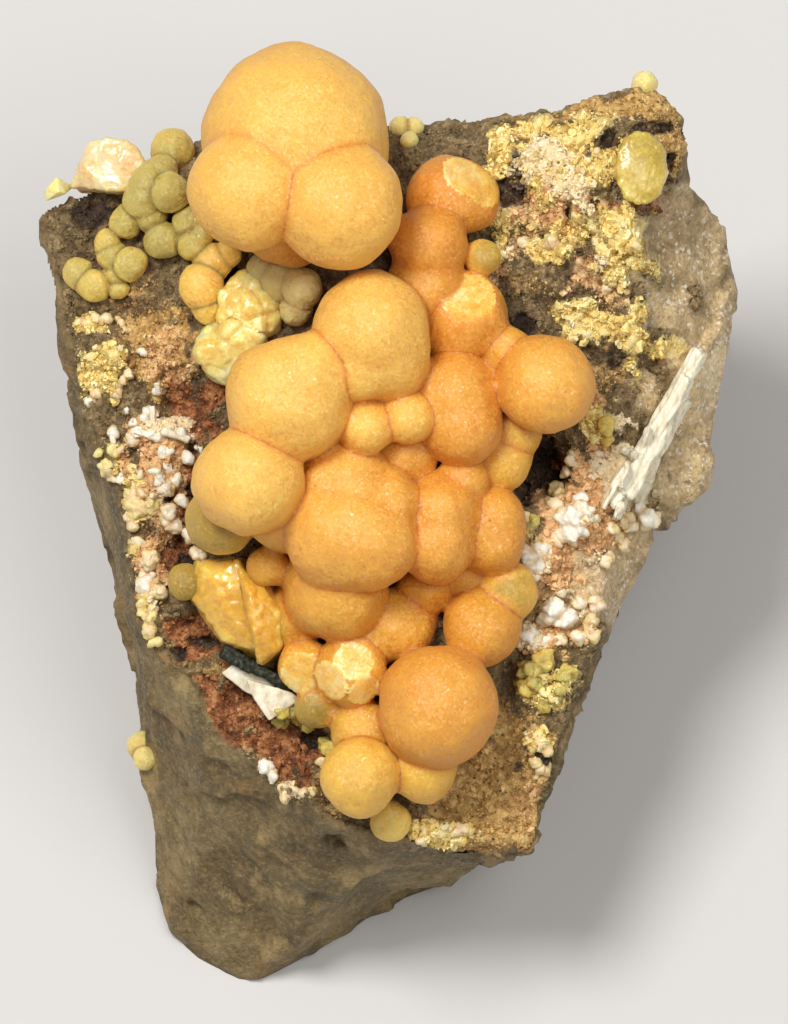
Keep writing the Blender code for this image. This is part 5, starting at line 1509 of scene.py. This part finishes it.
class SPECIMEN_OT_small_growths(bpy.types.Operator):
    """Makes the chains of small green balls, the grey balls, beads and single balls"""

    bl_idname = "specimen.small_growths"
    bl_label = "Small growths"

    def execute(self, context):
        surface = Surface()
        clear = ((0.5, 0.4, 0.08), (0.7, 0.56, 0.16), (0.85, 0.73, 0.3))
        # In each look below, the pair of colours after the stops is the painted shade of creases
        # and pits.
        green = mimetite_look("green yellow mimetite", [
            (0.46, (0.5, 0.42, 0.12)), (0.6, (0.57, 0.46, 0.12)), (0.74, (0.78, 0.55, 0.12)),
            (0.86, (0.9, 0.55, 0.11))], ((0.42, 0.32, 0.08), (0.22, 0.15, 0.04)), clear)
        grey = mimetite_look("grey translucent mimetite", [
            (0.5, (0.68, 0.55, 0.22)), (0.75, (0.74, 0.6, 0.25)), (1.0, (0.82, 0.62, 0.22))],
            ((0.6, 0.44, 0.17), (0.42, 0.28, 0.09)), clear)
        yellow = mimetite_look("yellow mimetite", [
            (0.5, (0.72, 0.52, 0.14)), (0.75, (0.85, 0.66, 0.24)), (1.0, (0.92, 0.74, 0.34))],
            ((0.6, 0.4, 0.1), (0.3, 0.16, 0.04)), clear)
        pale = mimetite_look("pale crystals", [
            (0.48, (0.93, 0.88, 0.75)), (0.6, (0.9, 0.74, 0.5)), (0.72, (0.86, 0.64, 0.34)),
            (0.88, (0.9, 0.74, 0.28))], ((0.72, 0.46, 0.22), (0.5, 0.27, 0.1)), clear, 0.6, 0.12)
        smooth, knobbly = (0.26, even_roughness(0.08, 0.9)), (0.1, even_roughness(0.28, 0.5))
        olives, knobs = crumbled(OLIVE_LUMPS, 4), crumbled(PALE_KNOBS, 2)
        for name, entries, cell, (fillet, skin), look, slot, *nodes in (
            ("green_balls", GREEN_CHAIN, 0.1, smooth, green, "green_mimetite",
             "green_ball_chain"),
            ("grey_ball_group", GREY_BALLS, 0.1, smooth, grey, "grey_mimetite", "grey_balls"),
            ("back_edge_beads", BACK_BEADS, 0.06, smooth, yellow, "yellow_mimetite",
             "back_beads"),
            ("ball_on_rim", RIM_BALL, 0.06, smooth, yellow, "cream_mimetite", "rim_ball"),
            ("ball_at_foot", FOOT_BALL, 0.09, smooth, green, "green_mimetite", "foot_ball"),
            ("nub_on_edge", EDGE_NUB, 0.08, smooth, yellow, "yellow_mimetite", "edge_nub"),
            ("olive_lumps", olives, 0.09, knobbly, green, "green_mimetite"),
            ("pale_knobs", knobs, 0.11, knobbly, pale, "cream_mimetite"),
        ):
            made = grown(name, balls_on(surface, entries), cell, fillet, skin)
            dressed(made, look, slot, *nodes)
        return {"FINISHED"}


class SPECIMEN_OT_broken_lumps(bpy.types.Operator):
    """Makes the broken lumps, the split ball, the crystal, the white plate and the crust"""

    bl_idname = "specimen.broken_lumps"
    bl_label = "Broken lumps"

    def execute(self, context):
        surface = Surface()
        # In each look below, the pair of colours after the stops is the painted shade of creases
        # and pits.
        cream = mimetite_look("broken cream mimetite", [
            (0.4, (0.7, 0.5, 0.12)), (0.7, (0.86, 0.7, 0.26)), (1.0, (0.92, 0.82, 0.5))],
            ((0.7, 0.45, 0.1), (0.45, 0.22, 0.04)),
            ((0.8, 0.5, 0.09), (0.93, 0.76, 0.24), (0.95, 0.89, 0.52)), 0.4)
        pale = mimetite_look("broken orange mimetite", [
            (0.4, (0.8, 0.42, 0.1)), (1.0, (0.88, 0.56, 0.2))],
            ((0.7, 0.35, 0.1), (0.45, 0.2, 0.04)),
            ((0.78, 0.44, 0.14), (0.82, 0.64, 0.33), (0.84, 0.74, 0.46)), 0.5)
        split = mimetite_look("satin green mimetite", [
            (0.4, (0.44, 0.33, 0.06)), (0.7, (0.62, 0.46, 0.09)), (1.0, (0.7, 0.56, 0.14))],
            ((0.3, 0.22, 0.05), (0.15, 0.09, 0.02)),
            ((0.46, 0.33, 0.05), (0.62, 0.46, 0.08), (0.8, 0.65, 0.19)), 0.5)
        white, dark = white_look(), dark_look()
        plain, small = even_roughness(0.04, 0.5), even_roughness(0.08, 0.9)
        for name, solids, cell, skin, look, slot, *nodes in (
            ("cream_lump_broken", blocks_on(surface, CREAM_LUMP), 0.1, hackly_roughness, cream,
             "cream_mimetite", "cream_lump"),
            ("half_ball_broken", blocks_on(surface, HALF_BALL), 0.1, break_roughness, pale,
             "cream_mimetite", "half_ball"),
            ("split_ball_face", split_on(surface, SPLIT_BALL, SPLIT_RINGS), 0.07,
             satin_roughness, split, "green_mimetite", "split_ball"),
            ("corner_crystal", blocks_on(surface, YELLOW_CRYSTAL), 0.06, plain, cream,
             "yellow_mimetite", "yellow_crystal"),
            ("white_plate_crystals", blocks_on(surface, WHITE_PLATE), 0.07, plain, white,
             "white_crystals", "white_plate"),
            ("dark_crust_strip", blocks_on(surface, DARK_CRUST), 0.07, break_roughness, dark,
             "dark_crust", "dark_crust"),
            ("white_blade_crystals", blades_on(surface, WHITE_BLADES), 0.09, strand_roughness,
             white, "white_crystals", "white_blades"),
            ("white_rods", blades_on(surface, WHITE_RODS), 0.06, small, white,
             "white_crystals"),
        ):
            dressed(grown(name, solids, cell, 0.03, skin), look, slot, *nodes)
        return {"FINISHED"}


class SPECIMEN_OT_grains(bpy.types.Operator):
    """Strews the small crystals that make the mineral face granular"""

    bl_idname = "specimen.grains"
    bl_label = "Mineral grains"

    def execute(self, context):
        balls = bpy.data.objects["orange_balls"]
        mesh = bpy.data.objects["mineral_face"].data.copy()
        tree = BVHTree.FromPolygons(
            [tuple(v) for v in places_of(balls.data)],
            [tuple(face.vertices) for face in balls.data.polygons])
        out = Vector(AXES[2])
        places = places_of(mesh)
        hidden = np.array([
            tree.ray_cast(Vector(p) + out * ABOVE * MM, out, COVER * MM)[0] is not None
            for p in places])
        layers = {name: kept(mesh, name) for name in ("face", *ZONES)}
        facing = smooth_step((normals_of(mesh) @ AXES.T)[:, 2], 0.0, 0.35)
        glass = smooth_step(layers["quartz"], 0.2, 0.6) * (1.0 - layers["yellow"])
        drifts = smooth_step(fractal(to_plane(places), 1.3, 3, (2.0, 6.0, 1.0)), -0.35, 0.3)
        bare = layers["face"] * (1.0 - 0.95 * hidden) * (1.0 - 0.97 * glass) * facing
        bare *= 0.25 + 0.75 * drifts
        attribute(mesh, "grainy", bare)
        attribute(mesh, "crusty", bare * smooth_step(
            layers["yellow"] + 0.6 * layers["cream"], 0.35, 0.6))
        attribute(mesh, "beady", bare * smooth_step(
            layers["white"] + 0.35 * layers["cream"], 0.3, 0.6))
        look = grain_look()
        octahedra = Scatter("octahedra", "GeometryNodeMeshUVSphere",
                            {"Segments": 4, "Rings": 2, "Radius": 0.5})
        tablets = Scatter("tablets", "GeometryNodeMeshCylinder",
                          {"Vertices": 6, "Radius": 0.5, "Depth": 0.3})
        beads = Scatter("beads", "GeometryNodeMeshIcoSphere", {"Radius": 0.5, "Subdivisions": 2})
        crystals = {"grainy": octahedra, "crusty": tablets, "beady": beads}
        for name, (mask, density, smallest, largest, lean, seed) in GRAINS.items():
            made = crystals[mask].strewn(
                name, mesh, mask=mask, density=density / MM**2, smallest=smallest * MM,
                largest=largest * MM, lean=lean, seed=seed, material=look)
            rides(made, "grey_quartz_rock")
        return {"FINISHED"}


def area_light(name, place, size, power, colour):
    """A soft light that faces the specimen."""
    data = bpy.data.lights.new(name, "AREA")
    data.shape = "DISK"
    data.size = size
    data.energy = power
    data.color = colour
    light = bpy.data.objects.new(name, data)
    light.location = place
    towards = Vector((0.0, 0.0, 0.015)) - Vector(place)
    light.rotation_euler = towards.to_track_quat("-Z", "Y").to_euler()
    bpy.context.scene.collection.objects.link(light)


class SPECIMEN_OT_stage(bpy.types.Operator):
    """Makes the pale floor, the soft lights and the camera"""

    bl_idname = "specimen.stage"
    bl_label = "Stage"

    def execute(self, context):
        shape = bmesh.new()
        bmesh.ops.create_circle(shape, cap_ends=True, radius=FLOOR_RADIUS, segments=96)
        mesh = bpy.data.meshes.new("floor")
        shape.to_mesh(mesh)
        shape.free()
        floor = linked("floor", mesh)
        mesh.materials.append(floor_look(colours().floor))
        for light in LIGHTS:
            area_light(*light)
        world = bpy.data.worlds.new("room")
        world.use_nodes = True
        background = world.node_tree.nodes["Background"]
        background.inputs["Color"].default_value = ROOM_COLOUR
        background.inputs["Strength"].default_value = ROOM_STRENGTH
        context.scene.world = world
        context.scene.view_settings.view_transform = "Standard"
        data = bpy.data.cameras.new("camera")
        data.sensor_width = SENSOR
        data.lens = SENSOR * CAMERA_FAR / FRAME_LENGTH
        data.clip_start = 0.01
        data.clip_end = 20.0
        camera = bpy.data.objects.new("camera", data)
        context.scene.collection.objects.link(camera)
        camera.location = Vector(to_world([(0.0, 0.0, CAMERA_FAR)])[0])
        camera.rotation_euler = (SLANT, 0.0, 0.0)
        context.scene.camera = camera
        return {"FINISHED"}


class SPECIMEN_PT_panel(bpy.types.Panel):
    """Lists the pieces of the specimen"""

    bl_idname = "SPECIMEN_PT_panel"
    bl_label = "Mimetite specimen"
    bl_space_type = "VIEW_3D"
    bl_region_type = "UI"
    bl_category = "Mimetite"

    def draw(self, context):
        for group in (context.scene.specimen_sizes, context.scene.specimen_colours):
            box = self.layout.box()
            for name in group.__annotations__:
                box.prop(group, name)
        for operator in OPERATORS:
            self.layout.operator(operator.bl_idname)


OPERATORS = (
    SPECIMEN_OT_rock, SPECIMEN_OT_orange_balls, SPECIMEN_OT_small_growths,
    SPECIMEN_OT_broken_lumps, SPECIMEN_OT_grains, SPECIMEN_OT_stage,
)
CLASSES = (SpecimenSizes, SpecimenColours, *OPERATORS, SPECIMEN_PT_panel)


def register():
    for cls in CLASSES:
        bpy.utils.register_class(cls)
    bpy.types.Scene.specimen_sizes = bpy.props.PointerProperty(type=SpecimenSizes)
    bpy.types.Scene.specimen_colours = bpy.props.PointerProperty(type=SpecimenColours)


def unregister():
    del bpy.types.Scene.specimen_colours
    del bpy.types.Scene.specimen_sizes
    for cls in reversed(CLASSES):
        bpy.utils.unregister_class(cls)


def main():
    register()
    for operator in OPERATORS:
        group, name = operator.bl_idname.split(".")
        result = getattr(getattr(bpy.ops, group), name)()
        if result != {"FINISHED"}:
            raise RuntimeError(f"{operator.bl_label} was not made")


if __name__ == "__main__":
    main()
